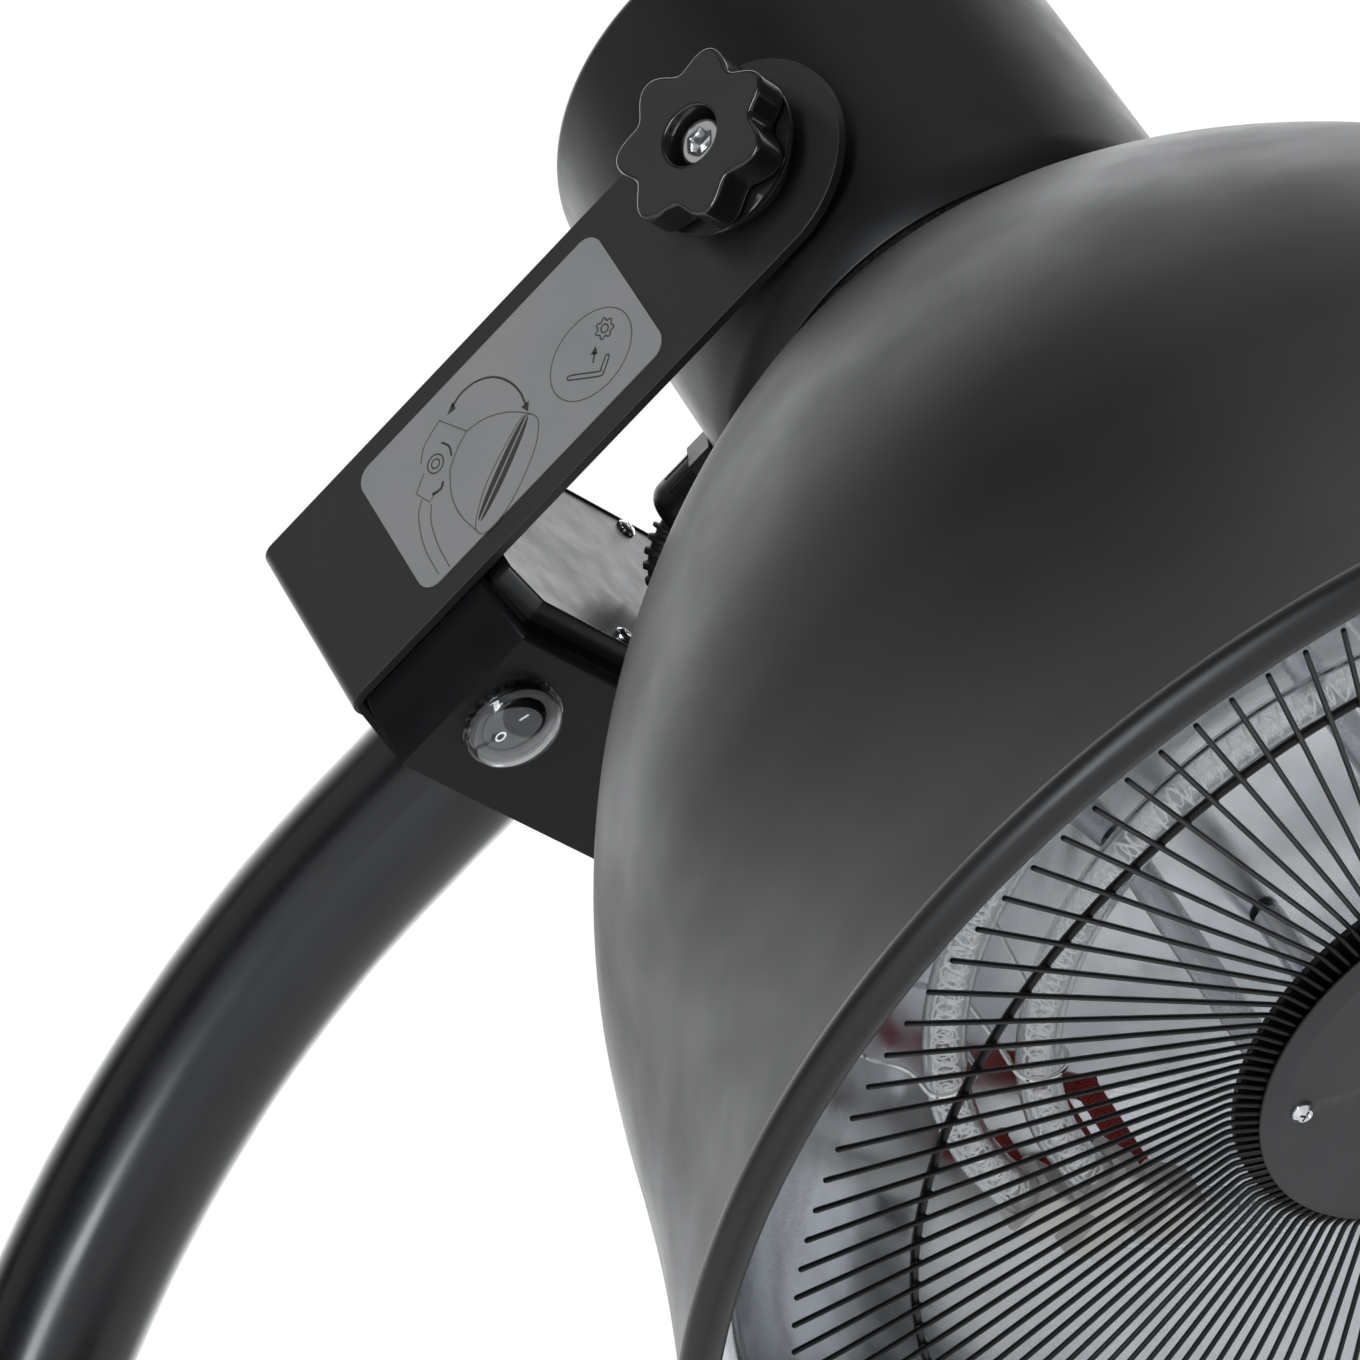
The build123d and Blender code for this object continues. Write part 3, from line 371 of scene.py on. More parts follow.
NODE_MAT = {
    "base_plate": "iron", "rubber_feet": "rubber", "foot_screws": "zinc", "pole_socket": "tube", "base_bolts": "black_screw",
    "socket_screws": "black_screw", "lower_pole": "tube", "cord_gland": "plastic", "pole_coupler": "zinc", "coupler_screws": "black_screw",
    "arc_tube": "tube", "tube_plug": "zinc", "bracket": "bracket", "bracket_screws": "zinc", "switch_box": "box", "box_lid": "lid",
    "lid_screws": "screw", "box_terminal_block": "white", "switch_body": "gloss", "rocker_pin": "zinc", "switch_cap": "silicone",
    "arm_label": "label", "knob_washers": "black_screw", "flex_lead": "pvc", "lid_grommet": "rubber", "rocker": "gloss",
    "knob_left": "knob", "pivot_bolt_left": "screw", "knob_right": "knob", "pivot_bolt_right": "screw", "can_shell": "can",
    "can_ring": "zinc", "pivot_bushes": "zinc", "friction_washers": "fibre", "can_gland": "plastic", "gland_nut": "plastic",
    "can_terminal_block": "white", "can_tail": "pvc", "dome": "powder", "dome_screws": "zinc", "reflector": "alu",
    "reflector_tabs": "zinc", "reflector_screws": "zinc", "lamp_outer": "quartz", "lamp_inner": "quartz", "filaments": "filament",
    "lamp_ceramics": "ceramic", "red_sleeves": "red", "lamp_leads": "lead", "lamp_clips": "bright", "grille_wires": "grille",
    "grille_ring": "grille", "grille_posts": "zinc", "grille_screws": "zinc", "hub_plate": "grille", "centre_cap": "cap",
    "cap_spacers": "zinc", "cap_screws": "screw",
}
SLOT = {r["node"]: r["material_slot"] for r in frame["record"]["subparts"]} if "subparts" in frame["record"] else {}
for n, o in NODES.items():
    for i in range(len(o.data.materials)):
        o.material_slots[i].link = "DATA"
        o.data.materials[i] = M[NODE_MAT[n]]


# ------------------------------------------------------------------ mesh building
def add(name, verts, faces, mat, body="head", nodes=(), head=True, angle=32.0, weld=0.0, flip=False):
    """a mesh from points in mm; head frame points get the head's matrix"""
    me = bpy.data.meshes.new(name)
    me.from_pydata([(v[0] * 0.001, v[1] * 0.001, v[2] * 0.001) for v in verts], [], [tuple(f) for f in faces])
    bm = bmesh.new()
    bm.from_mesh(me)
    if weld:
        bmesh.ops.remove_doubles(bm, verts=bm.verts, dist=weld * 0.001)
    bmesh.ops.recalc_face_normals(bm, faces=bm.faces)
    if flip:
        bmesh.ops.reverse_faces(bm, faces=bm.faces)
    bm.to_mesh(me)
    bm.free()
    me.shade_smooth()
    me.set_sharp_from_angle(angle=radians(angle))
    ob = bpy.data.objects.new(name, me)
    scene.collection.objects.link(ob)
    if head:
        ob.matrix_world = HEAD
    me.materials.append(M[mat])
    if body:
        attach(ob, body)
    if nodes:
        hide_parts(*nodes)
    return ob


class Geo:
    """collects several closed shapes into one mesh"""

    def __init__(self):
        self.v, self.f = [], []

    def put(self, verts, faces, place=None):
        n = len(self.v)
        self.v += [tuple(place @ Vector(v)) for v in verts] if place is not None else [tuple(v) for v in verts]
        self.f += [tuple(i + n for i in f) for f in faces]
        return self


def rings(loops, close_loops=False, cap0=False, cap1=False):
    """faces between loops of equal length"""
    n, m = len(loops[0]), len(loops)
    verts = [p for lp in loops for p in lp]
    faces = []
    for i in range(m if close_loops else m - 1):
        a, b = i * n, ((i + 1) % m) * n
        for j in range(n):
            k = (j + 1) % n
            faces.append((a + j, a + k, b + k, b + j))
    if cap0:
        faces.append(tuple(range(n - 1, -1, -1)))
    if cap1:
        faces.append(tuple((m - 1) * n + j for j in range(n)))
    return verts, faces


def lathe(prof, n=192, closed=True, shape=None, axis="z"):
    """revolves (r, z) points; shape(r, z, a) may change the radius. Points on the axis are welded later."""
    loops = []
    for r, z in prof:
        lp = []
        for j in range(n):
            a = 2 * pi * j / n
            rr = shape(r, z, a) if shape else r
            if axis == "z":
                lp.append((rr * cos(a), rr * sin(a), z))
            elif axis == "y":
                lp.append((rr * cos(a), z, rr * sin(a)))
            else:
                lp.append((z, rr * cos(a), rr * sin(a)))
        loops.append(lp)
    return rings(loops, close_loops=closed)


def arc2(cx, cz, r, a0, a1, n):
    return [(cx + r * cos(radians(a0 + (a1 - a0) * i / n)), cz + r * sin(radians(a0 + (a1 - a0) * i / n))) for i in range(n + 1)]


def rounded(pts, radii, seg=4, closed=True):
    """2-D polyline with its corners rounded"""
    out = []
    n = len(pts)
    for i in range(n):
        r = radii[i] if isinstance(radii, (list, tuple)) else radii
        if (not closed and i in (0, n - 1)) or r <= 0:
            out.append(tuple(pts[i]))
            continue
        p, a, b = Vector(pts[i]), Vector(pts[i - 1]), Vector(pts[(i + 1) % n])
        u, v = (a - p), (b - p)
        lu, lv = u.length, v.length
        if lu < 1e-9 or lv < 1e-9:
            out.append(tuple(p))
            continue
        u, v = u / lu, v / lv
        ang = u.angle(v)
        if ang > pi - 0.02:
            out.append(tuple(p))
            continue
        d = min(r / tan(ang / 2), lu * 0.49, lv * 0.49)
        rr = d * tan(ang / 2)
        c = p + (u + v).normalized() * (rr / sin(ang / 2))
        s0, s1 = p + u * d - c, p + v * d - c
        t0 = atan2(s0.y, s0.x)
        dt = atan2(s1.y, s1.x) - t0
        while dt > pi:
            dt -= 2 * pi
        while dt < -pi:
            dt += 2 * pi
        for k in range(seg + 1):
            t = t0 + dt * k / seg
            out.append((c.x + rr * cos(t), c.y + rr * sin(t)))
    return out


def smooth(pts, per=6, closed=False):
    """Catmull-Rom curve through points of any dimension"""
    P = [Vector(p) for p in pts]
    n = len(P)
    out = []
    for i in range(n if closed else n - 1):
        p1, p2 = P[i], P[(i + 1) % n]
        p0 = P[i - 1] if (closed or i > 0) else p1 * 2 - p2
        p3 = P[(i + 2) % n] if (closed or i + 2 < n) else p2 * 2 - p1
        for k in range(per):
            t = k / per
            out.append(0.5 * ((2 * p1) + (p2 - p0) * t + (2 * p0 - 5 * p1 + 4 * p2 - p3) * t * t + (3 * p1 - p0 - 3 * p2 + p3) * t ** 3))
    if not closed:
        out.append(P[-1])
    return out


def tube(path, r, seg=12, ends="flat", closed=False, ref=None, round_n=4):
    """round tube along points; r is a number or a list; ends flat, round or open"""
    P = [Vector(p) for p in path]
    n = len(P)
    T = []
    for i in range(n):
        a = P[i - 1] if (i > 0 or closed) else P[i]
        b = P[(i + 1) % n] if (i + 1 < n or closed) else P[i]
        T.append((b - a).normalized())
    ref = Vector(ref) if ref else (Vector((0, 0, 1)) if abs(T[0].z) < 0.9 else Vector((1, 0, 0)))
    u = (ref - T[0] * ref.dot(T[0])).normalized()
    R = r if isinstance(r, (list, tuple)) else [r] * n
    loops = []

    def ring(c, t, u, rad):
        v = t.cross(u)
        return [tuple(c + (u * cos(2 * pi * j / seg) + v * sin(2 * pi * j / seg)) * rad) for j in range(seg)]

    for i in range(n):
        u = (u - T[i] * u.dot(T[i])).normalized()
        if i == 0 and ends == "round" and not closed:
            for k in range(round_n, 0, -1):
                a = pi / 2 * k / (round_n + 0.25)
                loops.append(ring(P[0] - T[0] * R[0] * sin(a), T[0], u, R[0] * cos(a)))
        loops.append(ring(P[i], T[i], u, R[i]))
    if ends == "round" and not closed:
        for k in range(1, round_n + 1):
            a = pi / 2 * k / (round_n + 0.25)
            loops.append(ring(P[-1] + T[-1] * R[-1] * sin(a), T[-1], u, R[-1] * cos(a)))
    return rings(loops, close_loops=closed, cap0=not closed and ends != "open", cap1=not closed and ends != "open")


def baked(ob):
    """the object's mesh with its modifiers worked in"""
    dg = bpy.context.evaluated_depsgraph_get()
    me = bpy.data.meshes.new_from_object(ob.evaluated_get(dg))
    old = ob.data
    ob.modifiers.clear()
    ob.data = me
    if old.users == 0:
        bpy.data.meshes.remove(old)
    return ob


def cut(ob, shapes, angle=32.0):
    """takes shapes (verts, faces in ob's own mm) out of ob"""
    g = Geo()
    for s in shapes:
        g.put(*s)
    c = add("cutter", g.v, g.f, "zinc", body=None, head=False)
    c.matrix_world = ob.matrix_world
    bpy.context.view_layer.update()
    m = ob.modifiers.new("cut", "BOOLEAN")
    m.operation, m.solver, m.object = "DIFFERENCE", "EXACT", c
    mats = list(ob.data.materials)
    baked(ob)
    bpy.data.objects.remove(c)
    ob.data.materials.clear()
    ob.data.materials.append(mats[0])
    for p in ob.data.polygons:
        p.material_index = 0
    ob.data.shade_smooth()
    ob.data.set_sharp_from_angle(angle=radians(angle))
    return ob


def stick(r, a, b, c=(0, 0), axis="z", n=24):
    """plain round cutter or pin along an axis, in mm"""
    if axis == "z":
        pts = [(c[0], c[1], a), (c[0], c[1], b)]
    elif axis == "y":
        pts = [(c[0], a, c[1]), (c[0], b, c[1])]
    else:
        pts = [(a, c[0], c[1]), (b, c[0], c[1])]
    return tube(pts, r, n)


def bevelled(node, width, mat=None, seg=2, angle=28.0, name=None, weld=0.002, dissolve=0.6):
    """a CAD node's own shape with its doubles welded and every hard edge eased"""
    src = NODES[node]
    me = src.data.copy()
    bm = bmesh.new()
    bm.from_mesh(me)
    bmesh.ops.remove_doubles(bm, verts=bm.verts, dist=weld * 0.001)
    bmesh.ops.dissolve_degenerate(bm, edges=bm.edges, dist=weld * 0.001)
    bmesh.ops.dissolve_limit(bm, angle_limit=radians(dissolve), verts=bm.verts, edges=bm.edges)
    bmesh.ops.recalc_face_normals(bm, faces=bm.faces)
    clean = bpy.data.meshes.new(name or node + "_eased")
    bm.to_mesh(clean)
    bm.free()
    bpy.data.meshes.remove(me)
    ob = bpy.data.objects.new(name or node + "_eased", clean)
    scene.collection.objects.link(ob)
    clean.materials.clear()
    clean.materials.append(M[mat or NODE_MAT[node]])
    clean.shade_smooth()
    m = ob.modifiers.new("ease", "BEVEL")
    m.width, m.segments, m.limit_method, m.angle_limit = width * 0.001, seg, "ANGLE", radians(angle)
    m.use_clamp_overlap = True
    m.miter_outer = "MITER_ARC"
    baked(ob)
    ob.data.shade_smooth()
    ob.data.set_sharp_from_angle(angle=radians(50))
    w = ob.modifiers.new("even", "WEIGHTED_NORMAL")
    w.keep_sharp = True
    w.weight = 80
    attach(ob, frame_body[node])
    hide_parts(node)
    return ob


frame_body = {}
for n, o in NODES.items():
    frame_body[n] = o["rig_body"]


# ------------------------------------------------------------------ the flex between gland and switch box
ROUTE = [(0, -92.4, 0), (0.5, -103.8, 3.5), (12.5, -106.5, 12.5), (28.0, -99.0, 15.5), (42.0, -88.0, 7.5), (52.5, -88.5, -5.0),
         (53.0, -99.5, -9.0), (53.0, -110.5, -9.0)]


def nurbs_points(pts, per=24):
    """points along the open cubic-free spline that has pts as its control points"""
    cu = bpy.data.curves.new("route", "CURVE")
    cu.dimensions = "3D"
    sp = cu.splines.new("NURBS")
    sp.points.add(len(pts) - 1)
    for q, p in zip(sp.points, pts):
        v = hp(*p)
        q.co = (v.x, v.y, v.z, 1.0)
    sp.order_u = 3
    sp.use_endpoint_u = True
    sp.resolution_u = per
    ob = bpy.data.objects.new("route", cu)
    scene.collection.objects.link(ob)
    me = bpy.data.meshes.new_from_object(ob)
    out = [Vector(v.co) for v in me.vertices]
    bpy.data.objects.remove(ob)
    bpy.data.meshes.remove(me)
    return out


line = nurbs_points(ROUTE)
v, f = tube([tuple(p * 1000) for p in line], 3.25, 20)
flex = add("flex", v, f, "pvc", body=None, head=False)
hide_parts("flex_lead")
(flex, SLOT.get("flex_lead", "black_rubber"))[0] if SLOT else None
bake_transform(flex)

# ribbed bend protector over the flex's first stretch
acc, prot, radii, s_now = 0.0, [], [], 0.0
dense = []
for a, b in zip(line, line[1:]):
    k = max(1, int((b - a).length / 0.0002))
    for i in range(k):
        dense.append(a.lerp(b, i / k))
prev = dense[0]
for q in dense:
    s_now += (q - prev).length * 1000
    prev = q
    if s_now > 15.2:
        break
    ph = (s_now % 3.0) / 3.0
    tooth = min(1.0, max(0.0, (0.30 - abs(ph - 0.5)) / 0.09))
    base_r = 4.35 - 0.02 * s_now
    prot.append(tuple(q * 1000))
    radii.append(base_r + tooth * (1.55 - 0.035 * s_now) * (1.0 if s_now > 1.2 else 0.0))
v, f = tube(prot, radii, 28)
boot = add("flex_boot", v, f, "rubber", body=None, head=False, angle=40)
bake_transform(boot)

# ------------------------------------------------------------------ dome
DOME = [(44.0, 62.9), (67.6, 91.2), (91.2, 115.1), (114.9, 134.8), (138.5, 150.7), (162.2, 163.0), (185.8, 172.3), (209.4, 178.8),
        (233.1, 183.8), (256.7, 189.4), (280.3, 196.4), (304.0, 204.6), (320.0, 210.6)]
outer = [(p.x, p.y) for p in smooth([(r, w) for w, r in DOME], 8)]
outer = [q for q in outer if q[1] < 317.6]


def offset_in(pts, t):
    out = []
    for i, (r, w) in enumerate(pts):
        a, b = pts[max(i - 1, 0)], pts[min(i + 1, len(pts) - 1)]
        dr, dw = b[0] - a[0], b[1] - a[1]
        m = hypot(dr, dw)
        out.append((r - t * dw / m, w + t * dr / m))
    return out


inner = [q for q in offset_in(outer, 1.2) if q[1] > 46.0 and q[1] < 317.0]
prof = [(47.0, 44.0), (60.6, 44.0), (61.9, 44.15)] + outer + [(209.9, 318.1)]
prof += arc2(210.3, 323.0, 4.7, -88, 90, 22) + arc2(210.3, 323.0, 4.7, 98, 246, 18)
prof += list(reversed(inner)) + [(61.6, 45.25), (47.0, 45.2)]
v, f = lathe(prof, 288)
dome = add("dome_shell", v, f, "powder", nodes=("dome",), angle=38)
ds_at = [(56 * cos(radians(45 + 90 * k)), 56 * sin(radians(45 + 90 * k))) for k in range(4)]

# ------------------------------------------------------------------ can
ra = 4.0
prof = [(0.0, -79.0), (30.0, -79.0)] + arc2(64.0, -75.0, 4.0, -90, 0, 8) + [(68.0, -30.0), (68.0, 0.0), (68.0, 30.0), (68.0, 43.6), (67.7, 44.0), (66.8, 44.0), (66.5, 43.6),
                                                                           (66.5, -75.0)] + arc2(64.0, -75.0, 2.5, 0, -90, 5)[1:] + [(0.0, -77.5)]
v, f = lathe(prof, 224, closed=False)
can = add("can_housing", v, f, "can", nodes=("can_shell",), weld=0.001, angle=40)
cut(can, [stick(11.03, -75, -60, (0, 0), "x", 48), stick(11.03, 60, 75, (0, 0), "x", 48), stick(8.05, -80, -50, (0, 0), "y", 40)], 40)

# ------------------------------------------------------------------ reflector
REFL = [(0.0, 197.0), (40.0, 198.5), (80.0, 206.5), (115.0, 221.0), (145.0, 240.5), (168.0, 262.0), (181.0, 281.0)]
front = [(p.x, p.y) for p in smooth(REFL, 10)]
front[0] = (0.0, 197.0)


def refl_w(r):
    for (r0, w0), (r1, w1) in zip(front, front[1:]):
        if r0 <= r <= r1:
            return w0 + (w1 - w0) * (r - r0) / (r1 - r0)
    return front[-1][1]


backs = []
for i, (r, w) in enumerate(front):
    a, b = front[max(i - 1, 0)], front[min(i + 1, len(front) - 1)]
    dr, dw = b[0] - a[0], b[1] - a[1]
    m = hypot(dr, dw)
    backs.append((max(r + 0.8 * dw / m, 0.0) if i else 0.0, w - 0.8 * dr / m if i else w - 0.8))
prof = front + [(182.2, 283.6), (183.6, 285.6), (185.0, 286.2), (194.6, 286.2), (195.0, 285.8), (194.6, 285.4), (185.4, 285.4), (184.2, 284.6)] + list(reversed(backs))
v, f = lathe(prof, 288, closed=False)
refl = add("reflector_bowl", v, f, "alu", nodes=("reflector",), weld=0.001, angle=45)
LAMPS = ((108.0, 238.0), (89.7, 250.0))
LAMP_AZ = -86.0
ends = []
for R, Wl in LAMPS:
    for sgn in (-1, 1):
        ends.append((R, Wl, LAMP_AZ + sgn * degrees(10.4 / R)))
holes = [stick(3.45, 180, 245, (R * cos(radians(a)), R * sin(radians(a)))) for R, Wl, a in ends]
holes += [stick(1.75, 190, 212, (43.85 * cos(radians(-133.7 + 90 * k)), 43.85 * sin(radians(-133.7 + 90 * k)))) for k in range(4)]
cut(refl, holes, 45)


# ------------------------------------------------------------------ lamps
def ring_pts(R, Wl, gap, n, az=LAMP_AZ):
    g = degrees(gap / R)
    return [(R * cos(radians(az + g + (360 - 2 * g) * i / n)), R * sin(radians(az + g + (360 - 2 * g) * i / n)), Wl) for i in range(n + 1)]


for (R, Wl), nm, node in ((LAMPS[0], "quartz_outer", "lamp_outer"), (LAMPS[1], "quartz_inner", "lamp_inner")):
    path = ring_pts(R, Wl, 15.2, 180)
    vo, fo = tube(path, 5.3, 28, ends="open", ref=(0, 0, 1))
    vi, fi = tube(path, 4.2, 28, ends="open", ref=(0, 0, 1))
    n0 = len(vo)
    faces = list(fo) + [tuple(n0 + i for i in reversed(q)) for q in fi]
    m, last = 28, (len(path) - 1) * 28
    for j in range(m):
        k = (j + 1) % m
        faces.append((j, n0 + j, n0 + k, k))
        faces.append((last + j, last + k, n0 + last + k, n0 + last + j))
    add(nm, list(vo) + list(vi), faces, "quartz", nodes=(node,), angle=60)

g = Geo()
for li, (R, Wl) in enumerate(LAMPS):
    # a crinkled strip of wire that fills the tube from side to side
    circ = 2 * pi * R - 34
    turns = int(circ / 4.3)
    steps = turns * 8
    pts = []
    for i in range(steps + 1):
        s = 17 + circ * i / steps
        a = radians(LAMP_AZ) + s / R
        ph = 2 * pi * i / 8
        jit = noise.noise(Vector((i * 0.37 + 11 * li, 3.1, 0.2)))
        jit2 = noise.noise(Vector((i * 0.29, 7.7 + li, 4.4)))
        rr = R + 3.25 * cos(ph) * (1 + 0.12 * jit2)
        ww = Wl + 3.25 * sin(ph + 0.5 * jit) * (1 + 0.15 * jit)
        a += 0.75 * jit2 / R
        pts.append((rr * cos(a), rr * sin(a), ww))
    g.put(*tube(pts, 0.36, 6))
    # a second, tighter coil on the same line
    turns = int(circ / 2.6)
    steps = turns * 7
    pts = []
    for i in range(steps + 1):
        s = 17 + circ * i / steps
        ph = -2 * pi * i / 7
        jit = noise.noise(Vector((i * 0.41 + 5 * li, 1.1, 9.2)))
        a = radians(LAMP_AZ) + (s + 0.8 * jit) / R
        rr = R + 2.3 * cos(ph + jit) * (1 + 0.25 * jit)
        ww = Wl + 2.3 * sin(ph) * (1 - 0.25 * jit)
        pts.append((rr * cos(a), rr * sin(a), ww))
    g.put(*tube(pts, 0.24, 5))
add("heating_wires", g.v, g.f, "filament", nodes=("filaments",), angle=60)

# spring clips of bright wire
g = Geo()
for a in (-128.0, -42.0, 50.0, 142.0):
    Ro, Wo = LAMPS[0]
    Ri, Wi = LAMPS[1]
    q = 5.3 + 0.85
    A = [(Ro + 14, refl_w(Ro + 14) + 0.9), (Ro + q + 1.2, Wo - 4), (Ro + q - 0.4, Wo + 4.8), (Ro + 1.0, Wo + q + 0.8),
         (Ro - q + 0.2, Wo + 4.0), (Ro - q - 0.6, Wo - 5.0), (99.6, refl_w(99.6) + 0.95)]
    B = [(Ri + 7.6, refl_w(Ri + 7.6) + 0.95), (Ri + q + 0.4, Wi - 10), (Ri + q - 0.2, Wi + 3.6), (Ri + 0.5, Wi + q + 0.8),
         (Ri - q + 0.2, Wi + 3.6), (Ri - q - 0.6, Wi - 10.0), (Ri - 9.5, refl_w(Ri - 9.5) + 0.95)]
    for pts, da in ((A, 2.2), (B, -2.2)):
        path = [tuple(p) for p in smooth([(r, 0.0, w) for r, w in pts], 8)]
        g.put(*tube(path, 0.72, 10, ends="round"), place=Matrix.Rotation(radians(a + da), 4, "Z"))
add("spring_clips", g.v, g.f, "bright", nodes=("lamp_clips",), angle=60)

# ------------------------------------------------------------------ grille
WIRE_W, WIRE_r, RING_R, RING_r, KINK_R, WIRE_END = 287.0, 0.68, 144.5, 1.1, 59.5, 178.0
RISE = tan(radians(8.67))


def wire_w(r):
    if r < KINK_R:
        return WIRE_W + 0.43 * (KINK_R - r)
    return WIRE_W + RISE * (r - KINK_R)


path = [(r, wire_w(r)) for r in (WIRE_END - WIRE_r, 172, 160, 145, 120, 90, 68, 63)]
path += [(61.2, wire_w(61.2) + 0.03), (60.3, wire_w(60.3) + 0.11), (59.5, WIRE_W + 0.24), (58.7, wire_w(58.7) + 0.11), (57.9, wire_w(57.9) + 0.03), (54, wire_w(54)), (51.5, wire_w(51.5))]
g = Geo()
one = tube([(r, 0, w) for r, w in path], WIRE_r, 12, ends="round", ref=(0, 0, 1))
for k in range(120):
    g.put(*one, place=Matrix.Rotation(radians(1.5 + 3 * k), 4, "Z"))
add("wires", g.v, g.f, "grille", nodes=("grille_wires",), angle=60)
RING_W = wire_w(RING_R) - WIRE_r - RING_r
g = Geo()
g.put(*tube([(RING_R * cos(2 * pi * i / 240), RING_R * sin(2 * pi * i / 240), RING_W) for i in range(240)], RING_r, 14, closed=True, ref=(0, 0, 1)))
# weld beads where the wires cross the ring
bead = tube([(RING_R + x, 0, RING_W + 1.02 + RISE * x) for x in (-0.7, -0.35, 0.0, 0.35, 0.7)], [0.62, 0.84, 0.90, 0.84, 0.62], 10, ends="round", ref=(0, 0, 1), round_n=3)
for k in range(120):
    g.put(*bead, place=Matrix.Rotation(radians(1.5 + 3 * k), 4, "Z"))
add("ring", g.v, g.f, "grille", nodes=("grille_ring",), angle=60)

# centre cap
prof = rounded([(0.0, 293.2), (48.5, 293.2), (53.7, 291.75), (53.7, 290.9), (48.4, 292.35), (0.0, 292.35)], [0, 0.9, 0.35, 0.2, 0.8, 0], 4, closed=False)
v, f = lathe(prof, 240, closed=False)
capo = add("cap_disc", v, f, "cap", nodes=("centre_cap",), weld=0.001, angle=45)
cut(capo, [stick(2.05, 285, 300, (43.85 * cos(radians(-133.7 + 90 * k)), 43.85 * sin(radians(-133.7 + 90 * k)))) for k in range(4)], 45)


# cap screws: a pressed pan head with a cross recess
def pan_head(r, h, sr, shank, n=48):
    prof = [(0, -shank), (sr, -shank), (sr, 0.0), (r - 0.15, 0.0), (r, 0.15)] + arc2(r - 0.9, 0.35, 0.9, -10, 55, 5)
    top = [(r * 0.62, h - 0.08), (r * 0.35, h), (0, h)]
    return lathe(prof + top, n, closed=False)


def cross(r, w, z0, z1, turn=0.0):
    out = []
    for a in (turn, turn + 90):
        c, s = cos(radians(a)), sin(radians(a))
        loops = []
        for z, k in ((z0, 0.55), (z1, 1.0)):
            q = [(-r * k, -w * k), (r * k, -w * k), (r * k, w * k), (-r * k, w * k)]
            loops.append([(x * c - y * s, x * s + y * c, z) for x, y in q])
        out.append(rings(loops, cap0=True, cap1=True))
    return out


def screws(name, node, places, turn_list, r=3.0, h=1.9, sr=1.9, shank=12.0, mat="screw", body="head", slot_w=0.38):
    """places are matrices that stand a +Z screw on its seat"""
    made = []
    for i, pl in enumerate(places):
        v, f = pan_head(r, h, sr, shank)
        ob = add("%s_%d" % (name, i), v, f, mat, body=None, head=False, weld=0.001, angle=35)
        for arm in cross(r * 0.60, slot_w, h - 1.25, h + 0.4, turn_list[i % len(turn_list)]):
            cut(ob, [arm], 35)
        ob.matrix_world = HEAD @ Matrix.Diagonal((1, 1, 1, 1)) @ pl
        made.append(ob)
    for ob in made:
        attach(ob, body)
    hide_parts(node)
    for ob in made[1:]:
        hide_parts(node)
    return made


def at(p, l, w):
    return Matrix.Translation(Vector((p, l, w)) * 0.001)


places = [at(43.85 * cos(radians(-133.7 + 90 * k)), 43.85 * sin(radians(-133.7 + 90 * k)), 293.2) for k in range(4)]
screws("cap_screw", "cap_screws", places, [20, 65, 5, 40], shank=13.0)

# ------------------------------------------------------------------ star knobs and pivot bolts
LOBES, PHASE, KR, KV = 7, -20.0, 23.5, 18.5
NK = 336


def star(off, z):
    """the knob's outline, moved inwards by off, at height z above its face"""
    pts = []
    for i in range(NK):
        a = 2 * pi * i / NK
        c = 0.5 + 0.5 * cos(LOBES * (a - radians(PHASE)))
        pts.append(Vector(((KV + (KR - KV) * c ** 0.9) * cos(a), (KV + (KR - KV) * c ** 0.9) * sin(a))))
    out = []
    for i in range(NK):
        d = (pts[(i + 1) % NK] - pts[i - 1]).normalized()
        nrm = Vector((d.y, -d.x))
        q = pts[i] - nrm * off
        out.append((q.x, q.y, z))
    return out


def circ(r, z):
    return [(r * cos(2 * pi * i / NK), r * sin(2 * pi * i / NK), z) for i in range(NK)]


def hexr(r, z):
    out = []
    for i in range(NK):
        a = 2 * pi * i / NK
        m = (a + pi / 6) % (pi / 3) - pi / 6
        k = r * cos(pi / 6) / cos(m - 0.0)
        out.append((k * cos(a), k * sin(a), z))
    return out


def knob_loops():
    lp = [circ(4.05, -21.0), circ(16.0, -21.0), circ(16.4, -20.8), circ(16.5, -20.5), circ(16.5, -18.6), circ(16.2, -18.2), circ(15.6, -18.0), circ(15.15, -17.6)]
    lp += [circ(15.0, -17.0), circ(15.0, -14.6), circ(15.15, -14.0), circ(15.5, -13.65)]
    lp += [circ(21.2, -13.6), circ(21.8, -13.4), circ(22.0, -13.0), circ(22.0, -12.2), circ(21.8, -11.8), circ(21.2, -11.6)]
    lp += [circ(16.6, -11.4), circ(15.8, -11.2), circ(15.4, -10.8), circ(15.4, -10.4), circ(15.6, -10.1)]
    for a in (0, 30, 60, 90):
        lp.append(star(0.8 - 0.8 * sin(radians(a)), -10.0 + 0.8 - 0.8 * cos(radians(a))))
    for z in (-8.0, -6.0, -4.0, -2.0):
        lp.append(star(0.0, z))
    for a in (0, 15, 30, 45, 60, 75, 90):
        lp.append(star(1.0 - 1.0 * cos(radians(a)), -1.0 + 1.0 * sin(radians(a))))
    lp += [star(2.2, -0.02), circ(9.2, -0.02), circ(8.5, -0.1), circ(8.15, -0.35), circ(8.0, -0.8), circ(8.0, -6.0), circ(8.0, -11.6), circ(7.7, -12.0), circ(4.05, -12.0)]
    return lp


